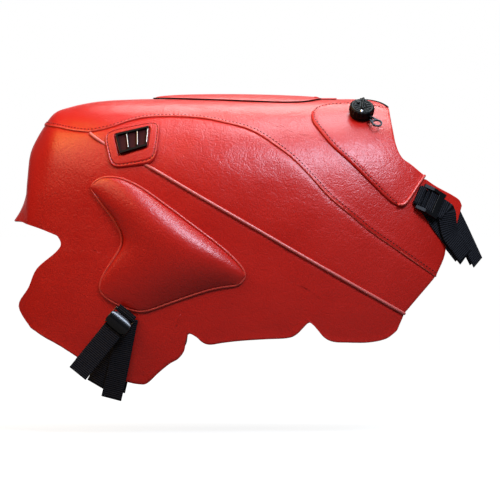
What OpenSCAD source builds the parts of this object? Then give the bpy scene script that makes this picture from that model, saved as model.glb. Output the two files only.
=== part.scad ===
// Fitted leatherette cover for a motorcycle fuel tank: sewn panels, padded knee cushions,
// a filler flap, webbing straps with ladder buckles and two bag clips.
// +X is the front of the motorcycle, +Z is up, the origin is the middle of the open underside.

/* [Cover] */
// Length of the cover, tail tip to tongue tip
cover_l = 540; // [500:1:600]
// Height of the crown above the lowest hem
cover_h = 340; // [315:1:375]
// Width across the widest part of both flanks
cover_w = 290; // [270:1:320]
// Thickness of the coated cloth with its fleece backing
cloth_t = 2.4; // [1.8:0.1:3]
// Gap between the edges of two panels that are sewn together
seam_gap = 0.4; // [0.3:0.05:0.6]
// Gap between a piece and the panel that it is sewn on
lap_gap = 0.5; // [0.4:0.05:0.6]
// Height of the front cheek panel above the panel under it
cheek_gap = 1.1; // [1:0.1:1.6]

/* [Filler flap] */
// Length of the flap over the filler
flap_l = 200; // [180:1:210]
// Width of the flap at its widest
flap_w = 106; // [90:1:116]
// Thickness of the flap at its edge
flap_t = 3; // [2.4:0.1:4]
// Extra height of the padded middle of the flap
flap_dome = 3; // [1:0.1:5]
// Width of the hinge tape at the front of the flap
hinge_w = 48; // [36:1:52]
// Length of the hinge tape
hinge_l = 20; // [12:1:26]
// Thickness of the hinge tape
hinge_t = 1.8; // [1.2:0.1:2.2]
// Length of the filler hole under the flap
hole_l = 160; // [140:1:166]
// Width of the filler hole under the flap
hole_w = 78; // [60:1:84]

/* [Knee pad] */
// Height of the knee cushion above the panel
pad_h = 19; // [12:1:24]
// Thickness of the cover on the knee cushion
pad_cover_t = 1.6; // [1.2:0.1:2.4]

/* [Piping and binding] */
// Diameter of the piping cord in the seams
piping_d = 3.2; // [2.6:0.1:4]
// Diameter of the black edge binding
binding_d = 3; // [2.4:0.1:3.6]

/* [Webbing and buckles] */
// Width of the webbing
webbing_w = 25; // [22:0.5:28]
// Thickness of the webbing
webbing_t = 1.4; // [1.1:0.1:1.6]
// Diameter of the bars of a ladder buckle
bar_d = 2; // [1.8:0.1:2.4]
// Width of the side rails of a ladder buckle
rail_w = 4; // [3:0.1:5]
// Distance from the anchor bar to the front bar
buckle_l = 25; // [23:0.5:28]
// Length of the thumb plate on the front buckle
front_plate_l = 6; // [4:0.5:9]
// Length of the thumb plate on the rear buckle
rear_plate_l = 19; // [14:0.5:20]
// Play of the webbing in a buckle
web_play = 0.15; // [0.12:0.01:0.2]
// Length of the flat part of an anchor loop
loop_l = 6; // [5:0.5:7]
// Length of the rear adjuster tail past the anchor bar
rear_tail_l = 91; // [74:1:100]
// Lean of the rear adjuster tail from upright
rear_lean = 39; // [30:1:44]

/* [Bag clip] */
// Diameter of the clip body
clip_d = 29; // [26:0.5:32]
// Height of the clip body
clip_h = 11; // [9:0.5:14]
// Thickness of the base under the clip
base_t = 2.5; // [2:0.1:3]
// Diameter of the post that the clip turns on
post_d = 9; // [7:0.5:11]
// Play between the post and the clip body
post_play = 0.1; // [0.06:0.01:0.14]
// Diameter of the release button
button_d = 4.4; // [3.6:0.1:5]
// Travel of the release button
button_travel = 1.5; // [1:0.1:2]
// Inner diameter of the clip ring
ring_d = 9.2; // [8:0.1:11]
// Thickness of the ring's wire
wire_t = 1.8; // [1.4:0.1:2]

/* [Vent] */
// Depth of the vent frame
vent_t = 3.4; // [3:0.1:4.4]
// Thickness of the grille behind the vent frame
grille_t = 1; // [0.8:0.1:1.4]
// Gap between the vent frame and its window
vent_gap = 1.2; // [1:0.1:1.6]

/* [Hidden] */
$fn = 48;

// Outlines of the cover as [share of the length, share of the height] in percent, seen from the side.
// Line of the crown in the middle plane, and on past the front edge as the tank would go
crown_share = [[0, 56.8], [1.5, 60.6], [2.6, 65], [3.2, 70], [3.3, 75.4], [4.1, 82.2], [6.2, 88.8], [9, 95],
    [12.8, 97.4], [17, 98.8], [23, 99.6], [32, 100], [45, 100], [60, 100], [72, 100], [79, 99.8], [85, 98.4],
    [91, 94], [97, 84], [101, 72], [106, 50]];
// Half width of the tank along its length
width_share = [[0, 35], [2, 48], [4, 58], [8, 69], [14, 79], [22, 88], [33, 95], [46, 100], [64, 100],
    [75, 96], [84, 89], [91, 80], [97, 69], [106, 50]];
// Depth over which the top rolls into the flank
roll_share = [[0, 24], [10, 34], [33, 42], [54, 48], [75, 62], [91, 68], [106, 68]];
// The shoulder seam runs to a junction, where the belt seam leaves it
junction = [16.8, 88.7];
shoulder_rear_share = [[7.1, 91.2], [10.2, 90.3], [13.3, 89.3], junction];
shoulder_share = [junction, [19.2, 89.3], [22, 90.4], [26, 92.6], [30, 93.8], [36, 94], [42, 93.5], [47, 92],
    [53.3, 89.2], [59.3, 83.3], [63, 78.6], [66.5, 73], [70.7, 65.8], [75.3, 59.7], [79.5, 54.1],
    [85.4, 47.6], [94, 38]];
belt_share = [junction, [20.1, 84.9], [29.6, 77.3], [42, 66], [53, 56], [64, 45.8], [75, 35.8], [87, 24.9]];
tail_share = [[0, 56.8], [0.6, 56.9], [2, 56.8], [4.4, 56.3], [7.4, 55.3], [9.6, 53.2], [10.9, 49.6],
    [9.8, 46.3], [5.6, 40.4], [3.7, 33.7], [1.4, 27], [4.2, 19.5]];
hem_share = [[4.2, 19.5], [4.5, 19.2], [5.3, 18.3], [7.3, 16.2], [10.5, 13.5], [14.6, 9.4], [18, 6.2],
    [21.5, 3.4], [25.2, 1], [28.6, 0], [30.2, 0.7], [32.4, 4], [34.9, 7.3], [36.9, 9.2], [38.2, 12],
    [38.6, 15.5], [39.3, 18], [40.9, 16.9], [42.4, 14.9], [44, 14.2], [47, 14.9], [51, 15.6], [56, 16.1],
    [61, 16.5], [63.2, 17.9], [65.6, 21.7], [66.6, 21.4], [67.8, 19.4], [69.3, 16.7], [71.3, 15.2],
    [74.5, 14.9], [78, 14.8], [80.6, 15.2], [82.9, 16.1], [84.4, 17.6], [85.4, 18.9]];
// The notch for the steering head, seen from above as [share of the length, share of the width]
notch_share = [[77.7, 0], [80.3, 7.6], [83.4, 16.6]];
front_share = [[84.1, 91.4], [85, 83.5], [86.3, 79.2], [88.3, 76.8], [91.3, 73], [93, 65], [95.4, 55],
    [96.2, 46.5]];
cheek_top_share = [[67.7, 96.3], [69.7, 97.2], [73, 97.8], [78, 97.8], [83.6, 96.4]];
cheek_rear_share = [[67.7, 96.3], [66.7, 94.6], [66.7, 93], [67.4, 90.8], [71.1, 83.7], [75.4, 77.6],
    [83.4, 65.2], [85.6, 63]];
cheek_hem_share = [[85.6, 63], [87.1, 63.6], [89.5, 69], [91.2, 72.9]];
cheek_front_share = [[83.6, 96.4], [84.2, 90.2], [85, 83.5], [86.3, 79.2], [88.3, 76.8], [91.2, 72.9]];
tongue_top_share = [[91.9, 71.9], [94.3, 69.3], [97.5, 66.6], [99.4, 64.6], [100, 62.6]];
tongue_low_share = [[93.6, 63.4], [95, 61.2], [96.6, 59.3], [98.5, 55]];
knee_top_share = [[17.7, 69.4], [20.2, 72.2], [24, 72], [28.5, 68.9], [34.5, 62.3], [39.8, 56], [46.2, 48.2],
    [50.2, 42.2], [51.8, 38.4]];
knee_rear_share = [[17.7, 69.4], [20, 64.5], [22.9, 58.6], [24.8, 52.6], [24.6, 48.2], [22.2, 42],
    [20.4, 37.3], [19.8, 33.8]];
knee_low_share = [[19.8, 33.8], [21.1, 31], [24.9, 27.8], [29.1, 26.2], [34.5, 28.9], [39.8, 31.9],
    [45.1, 34.4], [50.4, 35.6]];
// Corners of the vent patch and of its window: top rear, top front, low front, low rear
patch_share = [[20.2, 88.2], [33.2, 92.2], [32, 77.6], [22, 75.6]];
window_share = [[22.8, 87.4], [30.7, 90], [30.2, 83], [24, 80]];

// Places of the hardware on the skin, and the point that each looks towards
front_buckle_at = [90.5, 65.7];
front_buckle_to = [94.3, 61.5];
rear_buckle_at = [25.2, 24.6];
clip_at = [77.5, 93.6];
clip_to = [81.7, 87.2];
front_strap_share = [[96.6, 53], [98.5, 48.4], [100, 44.6]];
front_tail_share = [[89.9, 66.3], [91.2, 64.9], [92.4, 62.2], [95, 55.8], [98, 49.6], [100.5, 44.2]];
front_under_share = [[97.8, 63], [100.3, 55.5], [102.5, 48.5], [104.3, 42.6]];
rear_middle_share = [[26, 23.5], [24.9, 15], [23.8, 6], [22.2, -5]];
rear_under_share = [[25.6, 23.5], [23.9, 16], [21.6, 8], [18.8, -0.3]];

// Form of the tank
round_power = 2.7;
tuck_share = 45;
tuck_in = 0.1;
// How far the knee cushion's crown leans to its upper edge
pad_skew = 0.72;
// How fast the cushion rises from its edge, along and across: less is fuller
pad_full_along = 0.6;
pad_full_across = 0.7;
pad_edge_t = 0.6;
pad_cover_gap = 0.2;
tube_sides = 6;
smooth = 8;

// From shares to millimetres
function side_at(p) = [(p[0] - 50) / 100 * cover_l, p[1] / 100 * cover_h];
function sides_at(list) = [for (p = list) side_at(p)];
function x_at(share) = side_at([share, 0])[0];
notch_plan = [for (p = notch_share) [x_at(p[0]), p[1] / 100 * cover_w]];

// A smooth curve through a list of points
function bend(a, b, c, d, t) =
    0.5 * (2 * b + (c - a) * t + (2 * a - 5 * b + 4 * c - d) * t * t + (3 * b - a - 3 * c + d) * t * t * t);
function curve(p) = [
    for (i = [0:len(p) - 2])
        for (k = [0:smooth - 1])
            bend(p[max(i - 1, 0)], p[i], p[i + 1], p[min(i + 2, len(p) - 1)], k / smooth),
    p[len(p) - 1]
];
function side_curve(list) = curve(sides_at(list));

// Points spread evenly along a curve
function column(p, k) = [for (q = p) q[k]];
function runs(p, i = 0, s = 0) =
    i == len(p) - 1 ? [s] : concat([s], runs(p, i + 1, s + norm(p[i + 1] - p[i])));
function pairs(a, b) = [for (i = [0:len(a) - 1]) [a[i], b[i]]];
function spread(p, count) =
    let (
        r = runs(p),
        total = r[len(r) - 1],
        tables = [for (k = [0:len(p[0]) - 1]) pairs(r, column(p, k))]
    )
    [for (i = [0:count]) [for (table = tables) lookup(total * i / count, table)]];

// The tank's form: half its width at a place seen from the side
crown_line = side_curve(crown_share);
width_line = [for (p = curve(width_share)) [side_at(p)[0], p[1] / 100 * cover_w / 2]];
roll_line = side_curve(roll_share);
tuck_z = tuck_share / 100 * cover_h;
function crown_z(x) = lookup(x, crown_line);
function half_w(x) = lookup(x, width_line);
function roll(x) = lookup(x, roll_line);
function half_at(x, z) =
    let (
        turn = max(0, min(1, (crown_z(x) - z) / roll(x))),
        tuck = max(0, tuck_z - z) / tuck_z
    )
    half_w(x) * pow(1 - pow(1 - turn, round_power), 1 / round_power) * (1 - tuck_in * tuck * tuck);
// Height of the skin at a distance from the middle plane
function top_at(x, y) =
    crown_z(x) - roll(x) * (1 - pow(1 - pow(abs(y) / half_w(x), round_power), 1 / round_power));

// Points off the skin, seen from the right of the motorcycle
function unit(v) = v / norm(v);
slope_step = 0.5;
function outward(p) =
    unit([
        half_at(p[0] - slope_step, p[1]) - half_at(p[0] + slope_step, p[1]),
        -2 * slope_step,
        half_at(p[0], p[1] - slope_step) - half_at(p[0], p[1] + slope_step)
    ]);
function lifted(p, d) =
    let (q = [p[0], -half_at(p[0], p[1]), p[1]] + d * outward(p))
    [q[0], min(q[1], -seam_gap / 2), q[2]];

// A frame on the skin: +Z outward, +X towards another point
function frame(origin, x, z) =
    let (t = unit(x - (x * z) * z), b = cross(z, t))
    concat([for (k = [0:2]) [t[k], b[k], z[k], origin[k]]], [[0, 0, 0, 1]]);
function skin_frame(at, to, d) =
    let (p = side_at(at), q = side_at(to))
    frame(lifted(p, d), lifted(q, d) - lifted(p, d), outward(p));
function place(m, v) = [for (i = [0:2]) m[i] * [v[0], v[1], v[2], 1]];

// A grid of points between four edges; the first and last points of the edges meet at the corners.
function grid(top, low, rear, front) =
    let (cols = len(top) - 1, rows = len(rear) - 1)
    [
        for (r = [0:rows])
            [
                for (c = [0:cols])
                    let (u = c / cols, t = r / rows)
                    (1 - t) * top[c] + t * low[c]
                        + (1 - u) * (rear[r] - (1 - t) * top[0] - t * low[0])
                        + u * (front[r] - (1 - t) * top[cols] - t * low[cols])
            ]
    ];
// Near the crown the grid is made in other coordinates: distance along, and angle rolled down from the crown
function rolled(p) =
    let (turn = (crown_z(p[0]) - p[1]) / roll(p[0]))
    [p[0], turn <= 0 ? 0 : turn < 1 ? acos(pow(1 - turn, round_power / 2)) : 90 * turn];
function unrolled(q) =
    let (drop = q[1] < 90 ? 1 - pow(cos(max(0, q[1])), 2 / round_power) : q[1] / 90)
    [q[0], crown_z(q[0]) - roll(q[0]) * drop];
function all_rolled(list) = [for (p = list) rolled(p)];
function crown_grid(top, low, rear, front) = [
    for (row = grid(all_rolled(top), all_rolled(low), all_rolled(rear), all_rolled(front)))
        [for (q = row) unrolled(q)]
];
function level(cells, d) = [for (row = cells) [for (p = row) d]];
function quad(a, b, c, d) = [[a, b, c], [a, c, d]];
function joined(lists) = [for (list = lists) each list];

// A closed sheet between two layers of grid points; with wrap, the columns go round in a ring
module sheet(outer, inner, wrap = false) {
    rows = len(outer) - 1;
    per_row = len(outer[0]);
    cols = wrap ? per_row : per_row - 1;
    function o(r, c) = r * per_row + c % per_row;
    function i(r, c) = (rows + 1) * per_row + o(r, c);
    faces = concat(
        joined([
            for (r = [0:rows - 1])
                for (c = [0:cols - 1])
                    concat(
                        quad(o(r, c), o(r, c + 1), o(r + 1, c + 1), o(r + 1, c)),
                        quad(i(r, c), i(r + 1, c), i(r + 1, c + 1), i(r, c + 1))
                    )
        ]),
        joined([
            for (c = [0:cols - 1])
                concat(
                    quad(o(0, c + 1), o(0, c), i(0, c), i(0, c + 1)),
                    quad(o(rows, c), o(rows, c + 1), i(rows, c + 1), i(rows, c))
                )
        ]),
        wrap ? [] : joined([
            for (r = [0:rows - 1])
                concat(
                    quad(o(r, 0), o(r + 1, 0), i(r + 1, 0), i(r, 0)),
                    quad(o(r + 1, cols), o(r, cols), i(r, cols), i(r + 1, cols))
                )
        ])
    );
    polyhedron(concat(joined(outer), joined(inner)), faces, convexity = 10);
}

// A sheet on the skin between two heights above it, each one number or a grid of numbers
module skin_sheet(cells, low, high, wrap = false) {
    function layer(d) =
        [for (r = [0:len(cells) - 1]) [for (c = [0:len(cells[0]) - 1]) lifted(cells[r][c], d[r][c])]];
    sheet(
        layer(is_list(high) ? high : level(cells, high)),
        layer(is_list(low) ? low : level(cells, low)),
        wrap
    );
}

// A round cord through points, with the direction that its first side faces at each
module cord(points, ups, d, wrap = false) {
    n = len(points);
    rings = wrap ? n : n - 1;
    function before(i) = wrap ? (i + n - 1) % n : max(i - 1, 0);
    function after(i) = wrap ? (i + 1) % n : min(i + 1, n - 1);
    function heading(i) = points[after(i)] - points[before(i)];
    function ring(i) =
        let (t = unit(heading(i)), up = unit(ups[i] - (ups[i] * t) * t), b = cross(t, up))
        [
            for (j = [0:tube_sides - 1])
                let (a = 360 * j / tube_sides)
                points[i] + d / 2 * (cos(a) * up + sin(a) * b)
        ];
    function v(i, j) = (i % n) * tube_sides + j % tube_sides;
    walls = joined([
        for (i = [0:rings - 1])
            for (j = [0:tube_sides - 1])
                quad(v(i, j), v(i + 1, j), v(i + 1, j + 1), v(i, j + 1))
    ]);
    caps = wrap ? [] : joined([
        for (j = [1:tube_sides - 2])
            [[v(0, 0), v(0, j), v(0, j + 1)], [v(n - 1, 0), v(n - 1, j + 1), v(n - 1, j)]]
    ]);
    polyhedron(joined([for (i = [0:n - 1]) ring(i)]), concat(walls, caps), convexity = 10);
}
module skin_cord(cells, d, lift, wrap = false) {
    cord([for (p = cells) lifted(p, lift)], [for (p = cells) outward(p)], d, wrap);
}

// A flat strip of webbing through points, with the way its face looks at each
module ribbon(points, faces) {
    n = len(points);
    function heading(i) = unit(points[min(i + 1, n - 1)] - points[max(i - 1, 0)]);
    function side(i) = unit(cross(faces[i], heading(i))) * webbing_w / 2;
    function off(i) = unit(faces[i]) * webbing_t / 2;
    function layer(s) = [for (k = [1, -1]) [for (i = [0:n - 1]) points[i] + k * side(i) + s * off(i)]];
    sheet(layer(1), layer(-1));
}

// The seams, each taken at the same points by every panel and cord that meets it
seam_rear_cols = 7;
seam_front_cols = len(hem_share) - 1 - seam_rear_cols;
function spread_on_skin(p, count) =
    let (
        r = runs([for (q = p) lifted(q, 0)]),
        total = r[len(r) - 1],
        along = pairs(r, column(p, 0)),
        up = pairs(r, column(p, 1))
    )
    [for (i = [0:count]) [lookup(total * i / count, along), lookup(total * i / count, up)]];
shoulder_rear_seam = spread_on_skin(side_curve(shoulder_rear_share), seam_rear_cols);
shoulder_front_seam = spread_on_skin(side_curve(shoulder_share), seam_front_cols);
belt_seam = spread_on_skin(side_curve(belt_share), seam_front_cols);
function after_first(list) = [for (i = [1:len(list) - 1]) list[i]];
// A seam from a little past its first point
start_share = 0.25;
function from_start(list) = concat([list[0] + start_share * (list[1] - list[0])], after_first(list));
function shifted(cells, dz) = [for (p = cells) p + [0, dz]];
function on_crown(from, to, count) = [
    for (i = [0:count])
        let (x = x_at(from + (to - from) * i / count))
        [x, crown_z(x)]
];

// Leatherette panels
cloth_red = [0.72, 0.1, 0.09];
pad_red = [0.62, 0.08, 0.08];
webbing_black = [0.05, 0.05, 0.06];
plastic_black = [0.09, 0.09, 0.1];
shoulder_cols = len(hem_share) - 1;
shoulder_rows = 5;
hole_middle = 2;
function hole_half(x) =
    let (s = (x - hole_middle) / (hole_l / 2))
    abs(s) >= 1 ? 0 : hole_w / 2 * sqrt(1 - s * s);
crown_start = 9.5;
module shoulder_panel() {
    start = x_at(crown_start);
    stop = x_at(notch_share[0][0]);
    inner = [
        for (i = [0:shoulder_cols])
            let (x = start + (stop - start) * i / shoulder_cols)
            [x, top_at(x, hole_half(x))]
    ];
    low = shifted(concat(shoulder_rear_seam, after_first(shoulder_front_seam)), seam_gap / 2);
    rear = on_crown(crown_start, shoulder_rear_share[0][0], shoulder_rows);
    notch = [for (p = notch_plan) [p[0], top_at(p[0], p[1])]];
    front = spread(curve(concat(notch, sides_at(front_share), [low[shoulder_cols]])), shoulder_rows);
    color(cloth_red) skin_sheet(crown_grid(inner, low, rear, front), 0, cloth_t);
}

side_rows = 2;
module side_panel() {
    top = shifted(from_start(shoulder_front_seam), -seam_gap / 2);
    low = shifted(from_start(belt_seam), seam_gap / 2);
    rear = spread([top[0], low[0]], side_rows);
    front = spread([top[seam_front_cols], low[seam_front_cols]], side_rows);
    color(cloth_red) skin_sheet(grid(top, low, rear, front), 0, cloth_t);
}

lower_back_rows = 4;
module lower_panel() {
    top = shifted(concat(shoulder_rear_seam, after_first(belt_seam)), -seam_gap / 2);
    low = sides_at(hem_share);
    back = on_crown(shoulder_rear_share[0][0], crown_share[0][0], lower_back_rows);
    rear = concat(back, after_first(sides_at(tail_share)));
    front = spread([top[len(top) - 1], low[len(low) - 1]], len(rear) - 1);
    color(cloth_red) skin_sheet(grid(top, low, rear, front), 0, cloth_t);
}

front_cols = 8;
front_rows = 9;
overlay_low = cloth_t + lap_gap;
overlay_high = overlay_low + cloth_t;
cheek_low = cloth_t + cheek_gap;
cheek_high = cheek_low + cloth_t;
module front_panel() {
    top = spread(side_curve(cheek_top_share), front_cols);
    low = spread(side_curve(cheek_hem_share), front_cols);
    rear = spread(side_curve(cheek_rear_share), front_rows);
    front = spread(side_curve(cheek_front_share), front_rows);
    color(cloth_red) skin_sheet(crown_grid(top, low, rear, front), cheek_low, cheek_high);
}

tongue_cols = 6;
tongue_rows = 3;
module tongue() {
    top = spread(side_curve(tongue_top_share), tongue_cols);
    low = spread(side_curve(tongue_low_share), tongue_cols);
    rear = spread([top[0], low[0]], tongue_rows);
    front = spread([top[tongue_cols], low[tongue_cols]], tongue_rows);
    color(cloth_red) skin_sheet(grid(top, low, rear, front), 0, cloth_t);
}

// Knee cushion
knee_cols = 12;
knee_rows = 6;
knee_cells =
    let (
        top = spread(side_curve(knee_top_share), knee_cols),
        low = spread(side_curve(knee_low_share), knee_cols)
    )
    grid(
        top, low, spread(side_curve(knee_rear_share), knee_rows),
        spread([top[knee_cols], low[knee_cols]], knee_rows)
    );
function swell(share, power) = pow(max(0, sin(180 * pow(share, pad_skew))), power);
function pad_rise(u, t) = swell(u, pad_full_along) * swell(t, pad_full_across);
function pad_level(base) = [
    for (r = [0:knee_rows])
        [for (c = [0:knee_cols]) base + pad_h * pad_rise(c / knee_cols, r / knee_rows)]
];
foam_top = overlay_low + pad_edge_t;
module knee_foam() {
    color([0.3, 0.3, 0.32]) skin_sheet(knee_cells, overlay_low, pad_level(foam_top));
}
module knee_cover() {
    low = foam_top + pad_cover_gap;
    color(pad_red) skin_sheet(knee_cells, pad_level(low), pad_level(low + pad_cover_t));
}

// Vent: a stitched patch with a window, a black frame with three cells and a grille behind it
patch_points = 24;
patch_rows = 1;
function in_quad(q, a, b) =
    let (
        upper = ((1 - a) * q[0] + (1 + a) * q[1]) / 2,
        lower = ((1 - a) * q[3] + (1 + a) * q[2]) / 2
    )
    ((1 + b) * upper + (1 - b) * lower) / 2;
function squarish(angle, power) =
    let (c = cos(angle), s = sin(angle), k = pow(pow(abs(c), power) + pow(abs(s), power), -1 / power))
    [k * c, k * s];
function quad_loop(q, power) = [
    for (i = [0:patch_points - 1])
        let (ab = squarish(-360 * i / patch_points, power))
        in_quad(q, ab[0], ab[1])
];
patch_round = 5;
window_round = 16;
module vent_patch() {
    outer = quad_loop(sides_at(patch_share), patch_round);
    inner = quad_loop(sides_at(window_share), window_round);
    cells = [for (r = [0:patch_rows]) outer + (inner - outer) * r / patch_rows];
    color(cloth_red) skin_sheet(cells, overlay_low, overlay_high, wrap = true);
}
vent_middle = (window_share[0] + window_share[1] + window_share[2] + window_share[3]) / 4;
vent_ahead = (window_share[1] + window_share[2]) / 2;
vent_frame_on = skin_frame(vent_middle, vent_ahead, overlay_low);
function flat_at(m, v) =
    let (d = v - [m[0][3], m[1][3], m[2][3]])
    [d * [m[0][0], m[1][0], m[2][0]], d * [m[0][1], m[1][1], m[2][1]]];
window_flat = [for (p = window_share) flat_at(vent_frame_on, lifted(side_at(p), overlay_low))];
window_long = norm(window_flat[1] - window_flat[0]) / 2;
window_tall = norm(window_flat[1] - window_flat[2]) / 2;
vent_rim = 2.2;
vent_bar = 1.8;
vent_cells = 3;
function vent_outline(a0, a1, b) = [
    for (k = [[a0, b], [a1, b], [a1, -b], [a0, -b]])
        in_quad(window_flat, k[0], k[1])
];
vent_a = 1 - vent_gap / window_long;
vent_b = 1 - vent_gap / window_tall;
cell_a = vent_a - vent_rim / window_long;
cell_b = vent_b - vent_rim / window_tall;
bar_a = vent_bar / 2 / window_long;
cell_step = 2 * (cell_a + bar_a) / vent_cells;
module vent_frame() {
    color(plastic_black) multmatrix(vent_frame_on) translate([0, 0, grille_t]) linear_extrude(vent_t)
        difference() {
            polygon(vent_outline(-vent_a, vent_a, vent_b));
            for (k = [0:vent_cells - 1]) {
                start = k * cell_step - cell_a;
                polygon(vent_outline(start, start + cell_step - 2 * bar_a, cell_b));
            }
        }
}
module vent_grille() {
    color([0.16, 0.05, 0.06]) multmatrix(vent_frame_on) linear_extrude(grille_t)
        polygon(vent_outline(-vent_a, vent_a, vent_b));
}

// Piping on the seams
piping_lift = cloth_t + lap_gap / 2 + piping_d / 2;
module shoulder_piping() {
    color(cloth_red) skin_cord(
        concat(after_first(shoulder_rear_seam), after_first(shoulder_front_seam)), piping_d, piping_lift
    );
}
// The belt piping passes under the vent patch, so it has a short piece behind the patch and a long one ahead
belt_rear_to = 19.6;
belt_front_from = 31;
module belt_piping() {
    ahead = [for (p = belt_seam) if (p[0] > x_at(belt_front_from)) p];
    color(cloth_red) skin_cord(ahead, piping_d, piping_lift);
}
module belt_piping_rear() {
    from = belt_seam[0] + start_share * (belt_seam[1] - belt_seam[0]);
    before = [for (p = after_first(belt_seam)) if (p[0] < x_at(belt_rear_to)) p];
    color(cloth_red) skin_cord(concat([from], before), piping_d, piping_lift);
}
module front_piping() {
    hem_rings = 6;
    color(cloth_red) skin_cord(
        spread(side_curve(cheek_hem_share), hem_rings), piping_d, cheek_high + (lap_gap + piping_d) / 2
    );
}
// The knee piping runs round the cushion, just outside its edge
knee_loop =
    let (
        top = spread(side_curve(knee_top_share), knee_cols),
        low = spread(side_curve(knee_low_share), knee_cols),
        rear = spread(side_curve(knee_rear_share), knee_rows)
    )
    concat(
        top,
        [for (i = [knee_cols:-1:0]) low[i]],
        [for (i = [knee_rows - 1:-1:1]) rear[i]]
    );
function outside(loop, d) = [
    for (i = [0:len(loop) - 1])
        let (n = len(loop), t = unit(loop[(i + 1) % n] - loop[(i + n - 1) % n]))
        loop[i] + d * [-t[1], t[0]]
];
module knee_piping() {
    color(pad_red) skin_cord(outside(knee_loop, piping_d / 2 + lap_gap), piping_d, piping_lift, wrap = true);
}

// Filler flap on the crown, its edge binding and hinge tape
flap_share = [[0, 0.12], [0.12, 0.38], [0.35, 0.72], [0.6, 0.93], [0.8, 1], [0.93, 0.86], [1, 0.5]];
flap_line = curve(flap_share);
flap_cols = 14;
flap_rows = 6;
function flap_half(s) = lookup(s, flap_line) * flap_w / 2;
function flap_x(s) = (s - 0.5) * flap_l;
function crown_sheet(xs, halves, rows, heights) = [
    for (r = [0:rows])
        [
            for (c = [0:len(xs) - 1])
                let (y = (2 * r / rows - 1) * halves[c])
                [xs[c], -y, top_at(xs[c], y) + heights[r][c]]
        ]
];
module crown_pad(xs, halves, rows, low, high) {
    sheet(crown_sheet(xs, halves, rows, high), crown_sheet(xs, halves, rows, low));
}
flap_low = cloth_t + lap_gap;
module filler_flap() {
    shares = [for (c = [0:flap_cols]) c / flap_cols];
    function dome(r, s) =
        let (across = 2 * r / flap_rows - 1)
        flap_dome * (1 - across * across) * sqrt(max(0, sin(180 * s)));
    low = [for (r = [0:flap_rows]) [for (s = shares) flap_low]];
    high = [for (r = [0:flap_rows]) [for (s = shares) flap_low + flap_t + dome(r, s)]];
    color(cloth_red)
        crown_pad([for (s = shares) flap_x(s)], [for (s = shares) flap_half(s)], flap_rows, low, high);
}
module flap_binding() {
    out = binding_d / 2 + lap_gap / 2;
    edge = [for (c = [0:flap_cols]) [flap_x(c / flap_cols), flap_half(c / flap_cols)]];
    loop = concat(
        [for (c = [flap_cols:-1:0]) edge[c]],
        [for (p = edge) [p[0], -p[1]]]
    );
    n = len(loop);
    path = [
        for (i = [0:n - 1])
            let (t = unit(loop[min(i + 1, n - 1)] - loop[max(i - 1, 0)]))
            loop[i] + out * [t[1], -t[0]]
    ];
    color(webbing_black) cord(
        [for (p = path) [p[0], p[1], top_at(p[0], p[1]) + flap_low + binding_d / 2]],
        [for (p = path) [0, 0, 1]], binding_d
    );
}
hinge_gap = 0.5;
module flap_hinge() {
    cols = 4;
    rows = 4;
    xs = [for (c = [0:cols]) flap_x(1) + hinge_gap + hinge_l * c / cols];
    function flat(d) = [for (r = [0:rows]) [for (x = xs) d]];
    halves = [for (x = xs) hinge_w / 2];
    color(webbing_black) crown_pad(xs, halves, rows, flat(flap_low), flat(flap_low + hinge_t));
}
module front_binding() {
    steps = 8;
    rise = cloth_t / 2;
    ahead = binding_d / 2 + lap_gap / 2;
    half_edge = spread(curve(notch_plan), steps);
    edge = concat(
        [for (i = [steps:-1:0]) [half_edge[i][0], -half_edge[i][1]]],
        [for (i = [1:steps]) half_edge[i]]
    );
    color(webbing_black) cord(
        [for (p = edge) [p[0] + ahead, p[1], top_at(p[0], p[1]) + rise]],
        [for (p = edge) [0, 0, 1]], binding_d
    );
}

// Ladder buckle and its anchor loop: +X is the way the webbing leaves, +Z is outward.
// The anchor bar lies lowest, the webbing runs over the middle bar and under the front bar.
web_low = bar_d / 2 + web_play;
web_high = web_low + webbing_t;
loop_inner = bar_d / 2 + web_play;
loop_outer = loop_inner + webbing_t;
anchor_drop = loop_outer + 2 * web_play - web_low;
front_bar_z = web_high + web_play + bar_d / 2;
middle_share = 0.46;
inner_w = webbing_w + 6 * web_play;
module bar(x, z) {
    translate([x, 0, z]) rotate([90, 0, 0]) cylinder(d = bar_d, h = inner_w + rail_w, center = true);
}
module thumb_plate(l) {
    translate([buckle_l - l, 0, front_bar_z]) rotate([90, 0, 0])
        linear_extrude(inner_w + rail_w, center = true) {
            circle(d = bar_d);
            translate([0, -bar_d / 2]) square([l, bar_d]);
        }
    bar(buckle_l, front_bar_z);
}
module ladder_buckle(plate_l) {
    rail_low = -anchor_drop - bar_d / 2;
    rail_high = front_bar_z + bar_d / 2;
    color(plastic_black) {
        for (k = [-1, 1])
            translate([-bar_d, k * (inner_w + rail_w) / 2, 0]) rotate([90, 0, 0])
                linear_extrude(rail_w, center = true) polygon([
                    [0, rail_low], [middle_share * buckle_l, rail_low],
                    [buckle_l + 2 * bar_d, front_bar_z - bar_d], [buckle_l + 2 * bar_d, rail_high],
                    [middle_share * buckle_l, rail_high], [0, -anchor_drop + bar_d]
                ]);
        bar(0, -anchor_drop);
        bar(middle_share * buckle_l, 0);
        thumb_plate(plate_l);
    }
}
module anchor_loop() {
    module stadium(r, back) {
        circle(r);
        translate([-back, -r]) square([back, 2 * r]);
    }
    color(webbing_black) translate([0, 0, -anchor_drop]) rotate([90, 0, 0])
        linear_extrude(webbing_w, center = true) difference() {
            stadium(loop_outer, loop_l);
            stadium(loop_inner, loop_l - webbing_t);
        }
}
buckle_seat = anchor_drop + loop_outer;
tail_start = 8.5;

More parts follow.
